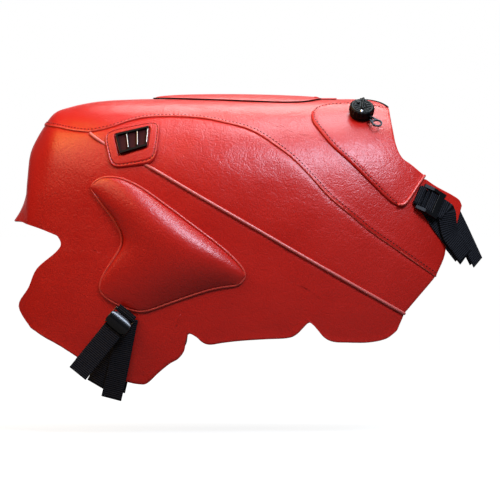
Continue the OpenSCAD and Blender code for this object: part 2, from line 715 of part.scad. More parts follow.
// Front strap group: the loop's lower end runs on under the buckle as a strap of its own
strap_steps = 8;
under_lift = cloth_t + lap_gap + webbing_t / 2;
front_tail_lift = under_lift + web_play;
front_seat = front_tail_lift + webbing_t / 2 + lap_gap + bar_d / 2 + anchor_drop;
front_buckle_on = skin_frame(front_buckle_at, front_buckle_to, front_seat);
module front_loop() {
    multmatrix(front_buckle_on) anchor_loop();
    cells = spread(side_curve(front_tail_share), 2 * strap_steps);
    color(webbing_black) ribbon(
        [for (p = cells) lifted(p, front_tail_lift)],
        [for (p = cells) outward(p)]
    );
}
module front_buckle() {
    multmatrix(front_buckle_on) ladder_buckle(front_plate_l);
}
web_z = (web_low + web_high) / 2;
straight_end = 34;
// How far a hanging strap stands off what is behind it
strap_clear = 1.5;
module front_strap() {
    inside = [for (x = [tail_start, straight_end]) place(front_buckle_on, [x, 0, web_z])];
    face = [front_buckle_on[0][2], front_buckle_on[1][2], front_buckle_on[2][2]];
    hang_lift = front_tail_lift + webbing_t + 2 * strap_clear;
    hang = [for (p = front_strap_share) lifted(side_at(p), hang_lift)];
    run = curve(concat([inside[1]], hang));
    path = concat([inside[0]], spread(run, strap_steps));
    faces = [
        for (i = [0:len(path) - 1])
            let (k = max(0, i - 1) / strap_steps)
            (1 - k) * face + k * outward(side_at(front_strap_share[2]))
    ];
    color(webbing_black) ribbon(path, faces);
}
module front_strap_under() {
    cells = spread(side_curve(front_under_share), strap_steps);
    color(webbing_black) ribbon(
        [for (p = cells) lifted(p, -strap_clear - webbing_t / 2)],
        [for (p = cells) outward(p)]
    );
}

// Rear strap group: the loop and buckle hang upright, clear of the two straps under them
middle_lift = under_lift + webbing_t + lap_gap;
rear_seat = middle_lift + webbing_t / 2 + lap_gap + 2 * web_play + buckle_seat;
rear_at = side_at(rear_buckle_at);
// The loop is sewn on this much higher than the buckle's anchor bar, in percent of the height
rear_sewn_up = 3;
rear_half = half_at(rear_at[0], rear_at[1] + rear_sewn_up / 100 * cover_h);
rear_point = [rear_at[0], -rear_half - rear_seat, rear_at[1]];
rear_buckle_on = frame(rear_point, [-sin(rear_lean), 0, -cos(rear_lean)], [0, -1, 0]);
module rear_loop() {
    multmatrix(rear_buckle_on) anchor_loop();
}
module rear_buckle() {
    multmatrix(rear_buckle_on) ladder_buckle(rear_plate_l);
}
module rear_strap() {
    color(webbing_black) multmatrix(rear_buckle_on)
        translate([tail_start, -webbing_w / 2, web_low])
            cube([rear_tail_l - tail_start, webbing_w, webbing_t]);
}
module hanging_strap(shares, lift, swing) {
    cells = spread(side_curve(shares), strap_steps);
    color(webbing_black) ribbon(
        [for (i = [0:strap_steps]) lifted(cells[i], lift) - [0, swing * pow(i / strap_steps, 2), 0]],
        [for (p = cells) outward(p)]
    );
}
module rear_strap_middle() {
    hanging_strap(rear_middle_share, middle_lift, 2 * strap_clear);
}
module rear_strap_under() {
    hanging_strap(rear_under_share, under_lift, strap_clear);
}

// Bag clip: +Z outward, +X towards its ring
clip_on = skin_frame(clip_at, clip_to, cheek_high + lap_gap);
clip_low = base_t + lap_gap;
post_h = 5;
cut = 1;
button_x = -clip_d / 4;
lug_t = 3;
lug_hole_d = 4;
lug_r = 2.8;
lug_reach = clip_d / 2 + 1.6;
lug_z = clip_low + lug_r;
// The ring is a pressed link: a small eye on the lug and a round one beyond it
small_eye_d = 4.4;
small_eye_x = (wire_t + small_eye_d) / 2;
ring_x = small_eye_x + small_eye_d / 2 + wire_t + ring_d / 2;
module clip_base() {
    color(plastic_black) multmatrix(clip_on) {
        cylinder(d = clip_d - 2, h = base_t);
        cylinder(d = post_d, h = base_t + post_h);
    }
}
module clip_body() {
    edge = 1.5;
    groove = 0.8;
    r = clip_d / 2;
    button_play = 0.15;
    button_depth = 4;
    color(plastic_black) multmatrix(clip_on) translate([0, 0, clip_low]) difference() {
        union() {
            rotate_extrude() polygon([
                [0, 0], [r - edge, 0], [r, edge], [r, clip_h / 2 - groove], [r - groove, clip_h / 2],
                [r, clip_h / 2 + groove], [r, clip_h - edge], [r - edge, clip_h], [0, clip_h]
            ]);
            translate([clip_d / 4, -lug_t / 2, 0]) cube([lug_reach - clip_d / 4, lug_t, 2 * lug_r]);
            translate([lug_reach, 0, lug_r]) rotate([90, 0, 0]) cylinder(r = lug_r, h = lug_t, center = true);
        }
        translate([0, 0, -cut]) cylinder(d = post_d + 2 * post_play, h = post_h + cut);
        translate([lug_reach, 0, lug_r]) rotate([90, 0, 0])
            cylinder(d = lug_hole_d, h = lug_t + cut, center = true);
        translate([button_x, 0, clip_h - button_depth])
            cylinder(d = button_d + 2 * button_play, h = button_depth + cut);
    }
}
module clip_button() {
    button_h = 2;
    proud = 0.3;
    color("silver") multmatrix(clip_on)
        translate([button_x, 0, clip_low + clip_h - button_h + button_travel + proud])
            cylinder(d = button_d, h = button_h);
}
module clip_ring() {
    small_r = small_eye_d / 2 + wire_t;
    round_r = ring_d / 2 + wire_t;
    color("silver") multmatrix(clip_on) translate([lug_reach, 0, lug_z - wire_t / 2]) difference() {
        union() {
            translate([small_eye_x, 0, 0]) cylinder(r = small_r, h = wire_t);
            translate([ring_x, 0, 0]) cylinder(r = round_r, h = wire_t);
            linear_extrude(wire_t) polygon([
                [small_eye_x, small_r], [ring_x, round_r], [ring_x, -round_r], [small_eye_x, -small_r]
            ]);
        }
        translate([small_eye_x, 0, -cut]) cylinder(d = small_eye_d, h = wire_t + 2 * cut);
        translate([ring_x, 0, -cut]) cylinder(d = ring_d, h = wire_t + 2 * cut);
    }
}

shoulder_panel();  // right_shoulder_panel
side_panel();  // right_side_panel
lower_panel();  // right_lower_panel
front_panel();  // right_front_panel
tongue();  // right_tongue
knee_foam();  // right_knee_foam
knee_cover();  // right_knee_cover
vent_patch();  // right_vent_patch
vent_frame();  // right_vent_frame
vent_grille();  // right_vent_grille
shoulder_piping();  // right_shoulder_piping
belt_piping();  // right_belt_piping
belt_piping_rear();  // right_belt_piping_rear
front_piping();  // right_front_piping
knee_piping();  // right_knee_piping
front_loop();  // right_front_loop
front_buckle();  // right_front_buckle
front_strap();  // right_front_strap
front_strap_under();  // right_front_strap_under
rear_loop();  // right_rear_loop
rear_buckle();  // right_rear_buckle
rear_strap();  // right_rear_strap
rear_strap_middle();  // right_rear_strap_middle
rear_strap_under();  // right_rear_strap_under
clip_base();  // right_clip_base
clip_body();  // right_clip_body
clip_button();  // right_clip_button
clip_ring();  // right_clip_ring
mirror([0, 1, 0]) shoulder_panel();  // left_shoulder_panel
mirror([0, 1, 0]) side_panel();  // left_side_panel
mirror([0, 1, 0]) lower_panel();  // left_lower_panel
mirror([0, 1, 0]) front_panel();  // left_front_panel
mirror([0, 1, 0]) tongue();  // left_tongue
mirror([0, 1, 0]) knee_foam();  // left_knee_foam
mirror([0, 1, 0]) knee_cover();  // left_knee_cover
mirror([0, 1, 0]) vent_patch();  // left_vent_patch
mirror([0, 1, 0]) vent_frame();  // left_vent_frame
mirror([0, 1, 0]) vent_grille();  // left_vent_grille
mirror([0, 1, 0]) shoulder_piping();  // left_shoulder_piping
mirror([0, 1, 0]) belt_piping();  // left_belt_piping
mirror([0, 1, 0]) belt_piping_rear();  // left_belt_piping_rear
mirror([0, 1, 0]) front_piping();  // left_front_piping
mirror([0, 1, 0]) knee_piping();  // left_knee_piping
mirror([0, 1, 0]) front_loop();  // left_front_loop
mirror([0, 1, 0]) front_buckle();  // left_front_buckle
mirror([0, 1, 0]) front_strap();  // left_front_strap
mirror([0, 1, 0]) front_strap_under();  // left_front_strap_under
mirror([0, 1, 0]) rear_loop();  // left_rear_loop
mirror([0, 1, 0]) rear_buckle();  // left_rear_buckle
mirror([0, 1, 0]) rear_strap();  // left_rear_strap
mirror([0, 1, 0]) rear_strap_middle();  // left_rear_strap_middle
mirror([0, 1, 0]) rear_strap_under();  // left_rear_strap_under
mirror([0, 1, 0]) clip_base();  // left_clip_base
mirror([0, 1, 0]) clip_body();  // left_clip_body
mirror([0, 1, 0]) clip_button();  // left_clip_button
mirror([0, 1, 0]) clip_ring();  // left_clip_ring
filler_flap();
flap_binding();
flap_hinge();
front_binding();
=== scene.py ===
"""Looks of a fitted leatherette cover for a motorcycle fuel tank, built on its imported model."""

import logging
import math
from dataclasses import dataclass, field, replace
from enum import Enum
from functools import cached_property
from typing import Any, Iterable, Optional, Sequence

import bmesh
import bpy
import numpy as np
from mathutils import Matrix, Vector, noise


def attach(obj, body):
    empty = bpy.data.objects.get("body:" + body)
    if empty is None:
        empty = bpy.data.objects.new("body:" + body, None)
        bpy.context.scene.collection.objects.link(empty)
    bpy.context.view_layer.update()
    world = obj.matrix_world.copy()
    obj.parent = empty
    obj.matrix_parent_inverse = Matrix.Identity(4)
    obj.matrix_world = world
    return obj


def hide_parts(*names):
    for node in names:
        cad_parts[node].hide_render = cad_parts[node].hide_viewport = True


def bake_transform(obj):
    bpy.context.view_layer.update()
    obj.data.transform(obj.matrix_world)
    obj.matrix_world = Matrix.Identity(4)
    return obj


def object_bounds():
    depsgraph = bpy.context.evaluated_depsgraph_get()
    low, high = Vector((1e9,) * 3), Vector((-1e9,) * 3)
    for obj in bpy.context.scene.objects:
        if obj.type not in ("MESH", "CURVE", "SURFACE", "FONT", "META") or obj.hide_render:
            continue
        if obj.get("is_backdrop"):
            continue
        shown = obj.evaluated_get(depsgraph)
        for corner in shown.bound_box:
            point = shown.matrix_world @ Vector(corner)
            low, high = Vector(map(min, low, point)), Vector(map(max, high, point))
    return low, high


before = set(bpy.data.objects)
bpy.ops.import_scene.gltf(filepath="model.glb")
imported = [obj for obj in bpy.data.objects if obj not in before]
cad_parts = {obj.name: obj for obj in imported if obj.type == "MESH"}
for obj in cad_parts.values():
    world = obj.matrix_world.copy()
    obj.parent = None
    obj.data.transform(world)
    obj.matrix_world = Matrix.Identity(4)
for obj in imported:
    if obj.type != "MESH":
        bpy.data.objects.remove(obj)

log = logging.getLogger("tank_cover")
Material = bpy.types.Material
Tree = bpy.types.NodeTree
Node = bpy.types.Node
Socket = bpy.types.NodeSocket
# One millimetre in metres: sizes are in millimetres until a mesh is made.
MM = 0.001
# Points by row, and places seen from the side in percent of the form's length and height.
Points = np.ndarray
Shares = Sequence[tuple[float, float]]
# The two layers of a cloth, or a strip's middle line and the way its face looks.
Pair = tuple[Points, Points]
# Place where the two seams and the rear of the shoulder meet, and the distance of stitches from a seam.
JUNCTION = (16.8, 88.7)
STITCH_AT = 3.4


class Side(Enum):
    """The two sides of the motorcycle; the right one faces the camera."""

    RIGHT = "right"
    LEFT = "left"

    def node(self, name: str) -> str:
        """Name of a CAD node or body on this side."""
        return f"{self.value}_{name}"


class Edge(Enum):
    """The four edges of a panel's grid of points."""

    TOP = "top"
    LOW = "low"
    REAR = "rear"
    FRONT = "front"


def smooth_curve(points: Sequence[Sequence[float]], per_span: int = 8) -> Points:
    """Runs a smooth curve through points.

    Args:
        points: The points that the curve passes through.
        per_span: Number of steps between two of them.
    Returns:
        The curve's points, one per row.
    """
    p = np.asarray(points, float)
    spans = np.arange(len(p) - 1)
    a = p[np.maximum(spans - 1, 0)][:, None]
    b = p[spans][:, None]
    c = p[spans + 1][:, None]
    d = p[np.minimum(spans + 2, len(p) - 1)][:, None]
    t = (np.arange(per_span) / per_span)[None, :, None]
    bent = 0.5 * (2 * b + (c - a) * t + (2 * a - 5 * b + 4 * c - d) * t**2 + (3 * b - a - 3 * c + d) * t**3)
    return np.vstack([bent.reshape(-1, p.shape[1]), p[-1:]])


def run_lengths(points: Points) -> Points:
    """Distance along a line to each of its points, the first of them zero."""
    steps = np.linalg.norm(np.diff(points, axis=0), axis=1)
    return np.concatenate([[0.0], np.cumsum(steps)])


def at_lengths(points: Points, lengths: Points) -> Points:
    """Points at given distances along a line."""
    runs = run_lengths(points)
    return stacked(*(np.interp(lengths, runs, axis) for axis in points.T))


def spread(points: Points, count: int) -> Points:
    """Points spread evenly along a line, one more than the count of steps."""
    return at_lengths(points, np.linspace(0, run_lengths(points)[-1], count + 1))


def straight(start: Points, stop: Points, count: int) -> Points:
    """Points spread evenly from one place to another."""
    return spread(np.array([start, stop]), count)


def stacked(*parts: Any) -> Points:
    """Points from their coordinates, each a number or an array."""
    return np.stack(np.broadcast_arrays(*parts), axis=-1)


def unit(vectors: Points) -> Points:
    """Vectors of length one in the same directions."""
    return vectors / np.maximum(np.linalg.norm(vectors, axis=-1, keepdims=True), 1e-12)


def coons(top: Points, low: Points, rear: Points, front: Points) -> Points:
    """Fills the space between four edges with a grid of points.

    Args:
        top: Edge from the rear to the front.
        low: The opposite edge, with as many points.
        rear: Edge from the top to the bottom.
        front: The opposite edge, with as many points.
    Returns:
        Points by row and column.
    """
    u = np.linspace(0, 1, len(top))[None, :, None]
    t = np.linspace(0, 1, len(rear))[:, None, None]
    between = (1 - t) * top[None] + t * low[None]
    rear_pull = rear[:, None] - (1 - t) * top[0] - t * low[0]
    front_pull = front[:, None] - (1 - t) * top[-1] - t * low[-1]
    return between + (1 - u) * rear_pull + u * front_pull


def between(top: Points, low: Points, rows: int) -> Points:
    """Grid between two edges, with straight ends."""
    return coons(top, low, straight(top[0], low[0], rows), straight(top[-1], low[-1], rows))


@dataclass(frozen=True)
class TankForm:
    """The shape that the cover is cut for, in millimetres; +X is forward and +Z is up."""

    length: float = 540.0
    height: float = 340.0
    width: float = 290.0
    round_power: float = 2.7
    tuck_share: float = 0.45
    tuck_in: float = 0.1
    slope_step: float = 0.5
    middle_gap: float = 0.05
    crown_shares: Shares = (
        (0, 56.8), (1.5, 60.6), (2.6, 65), (3.2, 70), (3.3, 75.4), (4.1, 82.2), (6.2, 88.8), (9, 95),
        (12.8, 97.4), (17, 98.8), (23, 99.6), (32, 100), (45, 100), (60, 100), (72, 100), (79, 99.8),
        (85, 98.4), (91, 94), (97, 84), (101, 72), (106, 50),
    )
    width_shares: Shares = (
        (0, 35), (2, 48), (4, 58), (8, 69), (14, 79), (22, 88), (33, 95), (46, 100), (64, 100), (75, 96),
        (84, 89), (91, 80), (97, 69), (106, 50),
    )
    roll_shares: Shares = ((0, 24), (10, 34), (33, 42), (54, 48), (75, 62), (91, 68), (106, 68))
    notch_shares: Shares = ((77.7, 0), (80.3, 7.6), (83.4, 16.6))

    def along(self, share: Any) -> Any:
        """Distance along the length, in millimetres, of shares in percent."""
        return (np.asarray(share, float) / 100 - 0.5) * self.length

    def side(self, shares: Sequence[Sequence[float]]) -> Points:
        """Points seen from the side, in millimetres, from shares in percent."""
        s = np.asarray(shares, float)
        return stacked(self.along(s[..., 0]), s[..., 1] / 100 * self.height)

    def side_curve(self, shares: Shares, per_span: int = 8) -> Points:
        """Smooth curve through shares, seen from the side, in millimetres."""
        return smooth_curve(self.side(shares), per_span)

    @cached_property
    def crown_line(self) -> Points:
        """Line of the crown in the middle plane."""
        return self.side_curve(self.crown_shares)

    @cached_property
    def width_line(self) -> Points:
        """Half width along the length."""
        shares = smooth_curve(self.width_shares)
        return stacked(self.along(shares[:, 0]), shares[:, 1] / 200 * self.width)

    @cached_property
    def roll_line(self) -> Points:
        """Depth over which the top rolls into the flank, along the length."""
        return self.side_curve(self.roll_shares)

    @cached_property
    def notch_plan(self) -> Points:
        """Half of the front edge at the steering head, seen from above."""
        shares = np.asarray(self.notch_shares, float)
        return stacked(self.along(shares[:, 0]), shares[:, 1] / 100 * self.width)

    def crown_z(self, x: Points) -> Points:
        """Height of the crown."""
        return np.interp(x, self.crown_line[:, 0], self.crown_line[:, 1])

    def half_width(self, x: Points) -> Points:
        """Half the width of the widest part."""
        return np.interp(x, self.width_line[:, 0], self.width_line[:, 1])

    def roll(self, x: Points) -> Points:
        """Depth of the rolled top."""
        return np.interp(x, self.roll_line[:, 0], self.roll_line[:, 1])

    def half_at(self, x: Points, z: Points) -> Points:
        """Half width at places seen from the side.

        Args:
            x: Places along the length.
            z: Heights of the same places.
        Returns:
            Distances of the skin from the middle plane.
        """
        turn = np.clip((self.crown_z(x) - z) / self.roll(x), 0, 1)
        tuck_z = self.tuck_share * self.height
        tuck = np.maximum(0, tuck_z - z) / tuck_z
        power = self.round_power
        return self.half_width(x) * (1 - (1 - turn) ** power) ** (1 / power) * (1 - self.tuck_in * tuck**2)

    def top_at(self, x: Points, y: Points) -> Points:
        """Height of the skin at places seen from above."""
        across = np.clip(np.abs(y) / self.half_width(x), 0, 1)
        return self.crown_z(x) - self.roll(x) * (1 - (1 - across**self.round_power) ** (1 / self.round_power))

    def outward(self, p: Points) -> Points:
        """Directions off the skin at places seen from the side.

        Args:
            p: The places, as X and Z.
        Returns:
            Unit vectors.
        """
        x = p[..., 0]
        z = p[..., 1]
        s = self.slope_step
        along = self.half_at(x - s, z) - self.half_at(x + s, z)
        up = self.half_at(x, z - s) - self.half_at(x, z + s)
        return unit(stacked(along, np.full_like(along, -2 * s), up))

    def lifted(self, p: Points, rise: Any) -> Points:
        """Points off the right flank's skin.

        Args:
            p: Places seen from the side, as X and Z.
            rise: Distance off the skin, one number or one per place.
        Returns:
            Points in space.
        """
        on_skin = stacked(p[..., 0], -self.half_at(p[..., 0], p[..., 1]), p[..., 1])
        points = on_skin + np.asarray(rise, float)[..., None] * self.outward(p)
        points[..., 1] = np.minimum(points[..., 1], -self.middle_gap)
        return points

    def spread_on_skin(self, p: Points, count: int) -> Points:
        """Places spread evenly along a line as it lies on the skin, one more than the count of steps."""
        runs = run_lengths(self.lifted(p, 0.0))
        return stacked(*(np.interp(np.linspace(0, runs[-1], count + 1), runs, axis) for axis in p.T))

    def rolled(self, p: Points) -> Points:
        """Turns places into rolled coordinates, which stay even over the crown.

        Args:
            p: Places seen from the side.
        Returns:
            Distance along, and angle in degrees rolled down from the crown.
        """
        turn = (self.crown_z(p[..., 0]) - p[..., 1]) / self.roll(p[..., 0])
        inside = np.clip(1 - turn, 0, 1)
        angle = np.where(turn < 1, np.degrees(np.arccos(inside ** (self.round_power / 2))), 90 * turn)
        return stacked(p[..., 0], angle)

    def unrolled(self, q: Points) -> Points:
        """Turns rolled coordinates back into places.

        Args:
            q: Distance along, and angle in degrees rolled down from the crown.
        Returns:
            Places seen from the side.
        """
        cosine = np.clip(np.cos(np.radians(np.clip(q[..., 1], 0, 90))), 0, 1)
        drop = np.where(q[..., 1] < 90, 1 - cosine ** (2 / self.round_power), q[..., 1] / 90)
        return stacked(q[..., 0], self.crown_z(q[..., 0]) - self.roll(q[..., 0]) * drop)

    def crown_coons(self, top: Points, low: Points, rear: Points, front: Points) -> Points:
        """Grid between four edges near the crown, made in rolled coordinates."""
        return self.unrolled(coons(*(self.rolled(edge) for edge in (top, low, rear, front))))

    def on_crown(self, start: float, stop: float, count: int) -> Points:
        """Places on the crown's line between two shares of the length."""
        x = self.along(np.linspace(start, stop, count + 1))
        return stacked(x, self.crown_z(x))


def linear(hex_colour: str) -> tuple[float, float, float, float]:
    """Linear colour, with full alpha, of an sRGB hex colour such as "#a01c14"."""
    channels = [int(hex_colour[i : i + 2], 16) / 255 for i in (1, 3, 5)]
    return (*(c / 12.92 if c <= 0.04045 else ((c + 0.055) / 1.055) ** 2.4 for c in channels), 1.0)


def connect(tree: Tree, node: Node, inputs: dict) -> None:
    """Sets the sockets of a node.

    Args:
        tree: The node tree.
        node: The node.
        inputs: Sockets by name or number, each a value or another node's output.
    """
    for name, value in inputs.items():
        if isinstance(value, Socket):
            tree.links.new(value, node.inputs[name])
        else:
            node.inputs[name].default_value = value


def add_node(tree: Tree, kind: str, inputs: Optional[dict] = None, **settings: Any) -> Node:
    """Adds a shader node with its settings and links.

    Args:
        tree: The node tree.
        kind: Type name of the shader node, without its prefix.
        inputs: Sockets by name or number, each a value or another node's output.
        settings: Properties of the node.
    Returns:
        The node.
    """
    node = tree.nodes.new(f"ShaderNode{kind}")
    for name, value in settings.items():
        setattr(node, name, value)
    connect(tree, node, inputs or {})
    return node


def new_material(name: str) -> tuple[Material, Tree, Node]:
    """Makes an empty material.

    Args:
        name: Name of the material.
    Returns:
        The material, its node tree and its principled shader.
    """
    material = bpy.data.materials.new(name)
    material.use_nodes = True
    tree = material.node_tree
    return material, tree, tree.nodes["Principled BSDF"]


# Numbers of the colour sockets of a mix node, and the length at which a wave texture of scale 1 repeats.
MIX_FROM = 6
MIX_TO = 7
MIXED = 2
WAVE_LENGTH = 0.314


@dataclass(frozen=True)
class Leatherette:
    """Polyvinyl coating on knitted cloth, embossed with a leather grain."""

    # The eye sees a soft sheen that breaks up on fine grain and on a few wandering creases.
    name: str
    colour: str
    shade: str
    roughness: float = 0.36
    wear: float = 0.05
    gloss: float = 0.5
    ior: float = 1.52
    # A real grain is about 1 mm wide. It is drawn twice as coarse, so that it shows.
    grain_mm: float = 2.0
    grain_depth_mm: float = 0.17
    crease_mm: float = 12.0
    crease_depth_mm: float = 0.065
    crease_edge: float = 0.16
    patch_mm: float = 55.0
    patch_detail: float = 3.0

    @cached_property
    def material(self) -> Material:
        """Makes the material, once.

        Returns:
            The material.
        """
        material, tree, shader = new_material(self.name)
        place = add_node(tree, "TexCoord").outputs["Object"]
        crease_scale = 1 / (self.crease_mm * MM)
        patches = add_node(tree, "TexNoise", {
            "Vector": place, "Scale": 1 / (self.patch_mm * MM), "Detail": self.patch_detail,
        }).outputs["Fac"]
        colour = add_node(tree, "Mix", {
            "Factor": patches, MIX_FROM: linear(self.shade), MIX_TO: linear(self.colour),
        }, data_type="RGBA")
        drift = add_node(tree, "TexNoise", {"Vector": place, "Scale": crease_scale})
        bent = add_node(tree, "VectorMath", {
            0: drift.outputs["Color"], 1: (self.crease_mm * MM,) * 3, 2: place,
        }, operation="MULTIPLY_ADD").outputs["Vector"]
        creases = add_node(
            tree, "TexVoronoi", {"Vector": bent, "Scale": crease_scale}, feature="DISTANCE_TO_EDGE"
        )
        folds = add_node(tree, "MapRange", {
            "Value": creases.outputs["Distance"], "From Max": self.crease_edge,
        }, interpolation_type="SMOOTHSTEP")
        grain = add_node(tree, "TexVoronoi", {"Vector": bent, "Scale": 1 / (self.grain_mm * MM)})
        creased = add_node(
            tree, "Bump", {"Height": folds.outputs["Result"], "Distance": self.crease_depth_mm * MM}
        ).outputs["Normal"]
        embossed = add_node(tree, "Bump", {
            "Height": grain.outputs["Distance"], "Distance": self.grain_depth_mm * MM, "Normal": creased,
        }, invert=True)
        worn = add_node(tree, "MapRange", {
            "Value": patches, "To Min": self.roughness - self.wear, "To Max": self.roughness + self.wear,
        })
        connect(tree, shader, {
            "Base Color": colour.outputs[MIXED],
            "Roughness": worn.outputs["Result"],
            "Normal": embossed.outputs["Normal"],
            "IOR": self.ior,
            "Specular IOR Level": self.gloss,
        })
        return material


@dataclass(frozen=True)
class WovenWebbing:
    """Narrow polyester webbing, woven with cross ribs."""

    # The eye sees a dull black with a fine ladder of lights: the ribs are bumped, and also painted lighter
    # than the valleys, a painted highlight on each rib.
    name: str
    colour: str
    # Colour of the rib tops, a painted highlight on each rib.
    painted_rib_highlight: str
    # Real ribs are about 1.2 mm apart. They are drawn twice as coarse, so that they show.
    rib_mm: float = 2.4
    rib_depth_mm: float = 0.3
    rib_waver: float = 0.4
    yarn_mm: float = 0.8
    yarn_waver: float = 0.2
    bump_strength: float = 0.8
    roughness: float = 0.8
    gloss: float = 0.06

    @cached_property
    def material(self) -> Material:
        """Makes the material, once.

        Returns:
            The material.
        """
        material, tree, shader = new_material(self.name)
        place = add_node(tree, "UVMap").outputs["UV"]
        bands = ((self.rib_mm, self.rib_waver, "Y"), (self.yarn_mm, self.yarn_waver, "X"))
        ribs, yarns = (
            add_node(tree, "TexWave", {
                "Vector": place, "Scale": WAVE_LENGTH / (step * MM), "Distortion": waver, "Detail": 1.0,
            }, bands_direction=axis).outputs["Fac"]
            for step, waver, axis in bands
        )
        height = add_node(tree, "Math", {0: ribs, 1: yarns}, operation="ADD")
        woven = add_node(tree, "Bump", {
            "Height": height.outputs[0], "Distance": self.rib_depth_mm * MM, "Strength": self.bump_strength,
        })
        # The ribs are painted lighter than the valleys between them: a painted highlight.
        colour = add_node(tree, "Mix", {
            "Factor": ribs, MIX_FROM: linear(self.colour), MIX_TO: linear(self.painted_rib_highlight),
        }, data_type="RGBA")
        connect(tree, shader, {
            "Base Color": colour.outputs[MIXED],
            "Normal": woven.outputs["Normal"],
            "Roughness": self.roughness,
            "Specular IOR Level": self.gloss,
        })
        return material


@dataclass(frozen=True)
class FinelyBumped:
    """A plain surface with fine bumps."""

    name: str
    colour: str
    roughness: float
    bump_mm: float
    bump_depth_mm: float
    bump_detail: float
    bump_strength: float
    gloss: float = 0.5
    ior: float = 1.5

    @cached_property
    def material(self) -> Material:
        """Makes the material, once.

        Returns:
            The material.
        """
        material, tree, shader = new_material(self.name)
        place = add_node(tree, "TexCoord").outputs["Object"]
        scale = 1 / (self.bump_mm * MM)
        bumps = add_node(tree, "TexNoise", {"Vector": place, "Scale": scale, "Detail": self.bump_detail})
        depth = {"Distance": self.bump_depth_mm * MM, "Strength": self.bump_strength}
        raised = add_node(tree, "Bump", {"Height": bumps.outputs["Fac"], **depth})
        connect(tree, shader, {
            "Normal": raised.outputs["Normal"],
            "Base Color": linear(self.colour),
            "Roughness": self.roughness,
            "IOR": self.ior,
            "Specular IOR Level": self.gloss,
        })
        return material


@dataclass(frozen=True)
class MouldedPlastic(FinelyBumped):
    """Injection-moulded nylon, acetal or the like."""

    # The eye sees an even surface with a faint orange peel.
    roughness: float = 0.3
    bump_mm: float = 1.2
    bump_depth_mm: float = 0.03
    bump_detail: float = 2.0
    bump_strength: float = 0.5
    ior: float = 1.53


@dataclass(frozen=True)
class SoftYarn(FinelyBumped):
    """Spun thread or brushed fleece."""

    # The eye sees no gloss, and a fuzz that shows only close to.
    roughness: float = 0.85
    bump_mm: float = 0.8
    bump_depth_mm: float = 0.2
    bump_detail: float = 4.0
    bump_strength: float = 0.6


@dataclass(frozen=True)
class PlatedSteel:
    """Drawn and bent steel wire, plated."""

    # The eye sees a mirror slightly dulled by drawing marks.
    name: str
    colour: str
    roughness: float = 0.18
    brighter: float = 0.06
    duller: float = 0.1
    mark_mm: float = 0.6

    @cached_property
    def material(self) -> Material:
        """Makes the material, once.

        Returns:
            The material.
        """
        material, tree, shader = new_material(self.name)
        place = add_node(tree, "TexCoord").outputs["Object"]
        marks = add_node(tree, "TexNoise", {"Vector": place, "Scale": 1 / (self.mark_mm * MM)})
        drawn = add_node(
            tree,
            "MapRange",
            {
                "Value": marks.outputs["Fac"],
                "To Min": self.roughness - self.brighter,
                "To Max": self.roughness + self.duller,
            },
        )
        connect(tree, shader, {
            "Roughness": drawn.outputs["Result"],
            "Base Color": linear(self.colour),
            "Metallic": 1.0,
        })
        return material


@dataclass(frozen=True)
class Finishes:
    """Every finish on the cover."""

    cloth: Leatherette = Leatherette("Embossed red leatherette", "#c41b0e", "#b6150b")
    # On the pad the coating is a touch darker, and stretched over foam its grain is flatter.
    pad: Leatherette = replace(
        cloth, name="Embossed red leatherette on foam", colour="#c01b0f", shade="#b2150b", grain_depth_mm=0.16
    )
    # Folded over a cord, the coating is stretched smooth and catches a line of light; its colour is also
    # painted paler than the panels', a painted highlight along the cord.
    piping: Leatherette = Leatherette(
        "Red leatherette folded on cord", "#cf463a", "#c43a2e",
        roughness=0.32, grain_depth_mm=0.08, crease_depth_mm=0.02,
    )
    # The belt cord is painted paler still, a stronger painted highlight along the belt seam.
    pale_piping: Leatherette = replace(
        piping, name="Pale red leatherette folded on cord", colour="#d0655f", shade="#c75a54"
    )
    thread: SoftYarn = SoftYarn("Dark red polyester thread", "#560e0c", bump_mm=0.4, bump_depth_mm=0.05)
    fleece: SoftYarn = SoftYarn("Grey brushed fleece backing", "#8d8885")
    # Its second colour is a painted highlight on the ribs.
    webbing: WovenWebbing = WovenWebbing("Black ribbed polyester webbing", "#040405", "#2e2e33")
    # A closer weave than the webbing's, which reads as plain black; its second colour is a painted highlight
    # on its ribs.
    binding: WovenWebbing = WovenWebbing(
        "Black woven edge binding", "#0a0a0b", "#18181a", rib_mm=0.8, rib_depth_mm=0.1
    )
    # Glass-filled nylon scatters its gloss, so the mouldings look nearly matt.
    plastic: MouldedPlastic = MouldedPlastic("Moulded black nylon", "#040405", roughness=0.45, gloss=0.14)
    # Acetal from a polished mould throws one clear streak of light.
    glossy_plastic: MouldedPlastic = MouldedPlastic(
        "Polished black acetal", "#0a0a0e", roughness=0.22, bump_depth_mm=0.005
    )
    # The mesh's very dark red is painted shade deep in the vent cells, with a dull painted reflection of the
    # red cover.
    grille: MouldedPlastic = MouldedPlastic("Dark red mesh with painted shade", "#380e10", roughness=0.6, gloss=0.1)
    steel: PlatedSteel = PlatedSteel("Bright nickel-plated steel", "#d6d6da", roughness=0.3)
    dark_steel: PlatedSteel = PlatedSteel("Black-chromed steel", "#1e1e22", roughness=0.22)

    @cached_property
    def lined(self) -> list[Material]:
        """Materials of a sheet of cloth and of its inner face."""
        return [self.cloth.material, self.fleece.material]


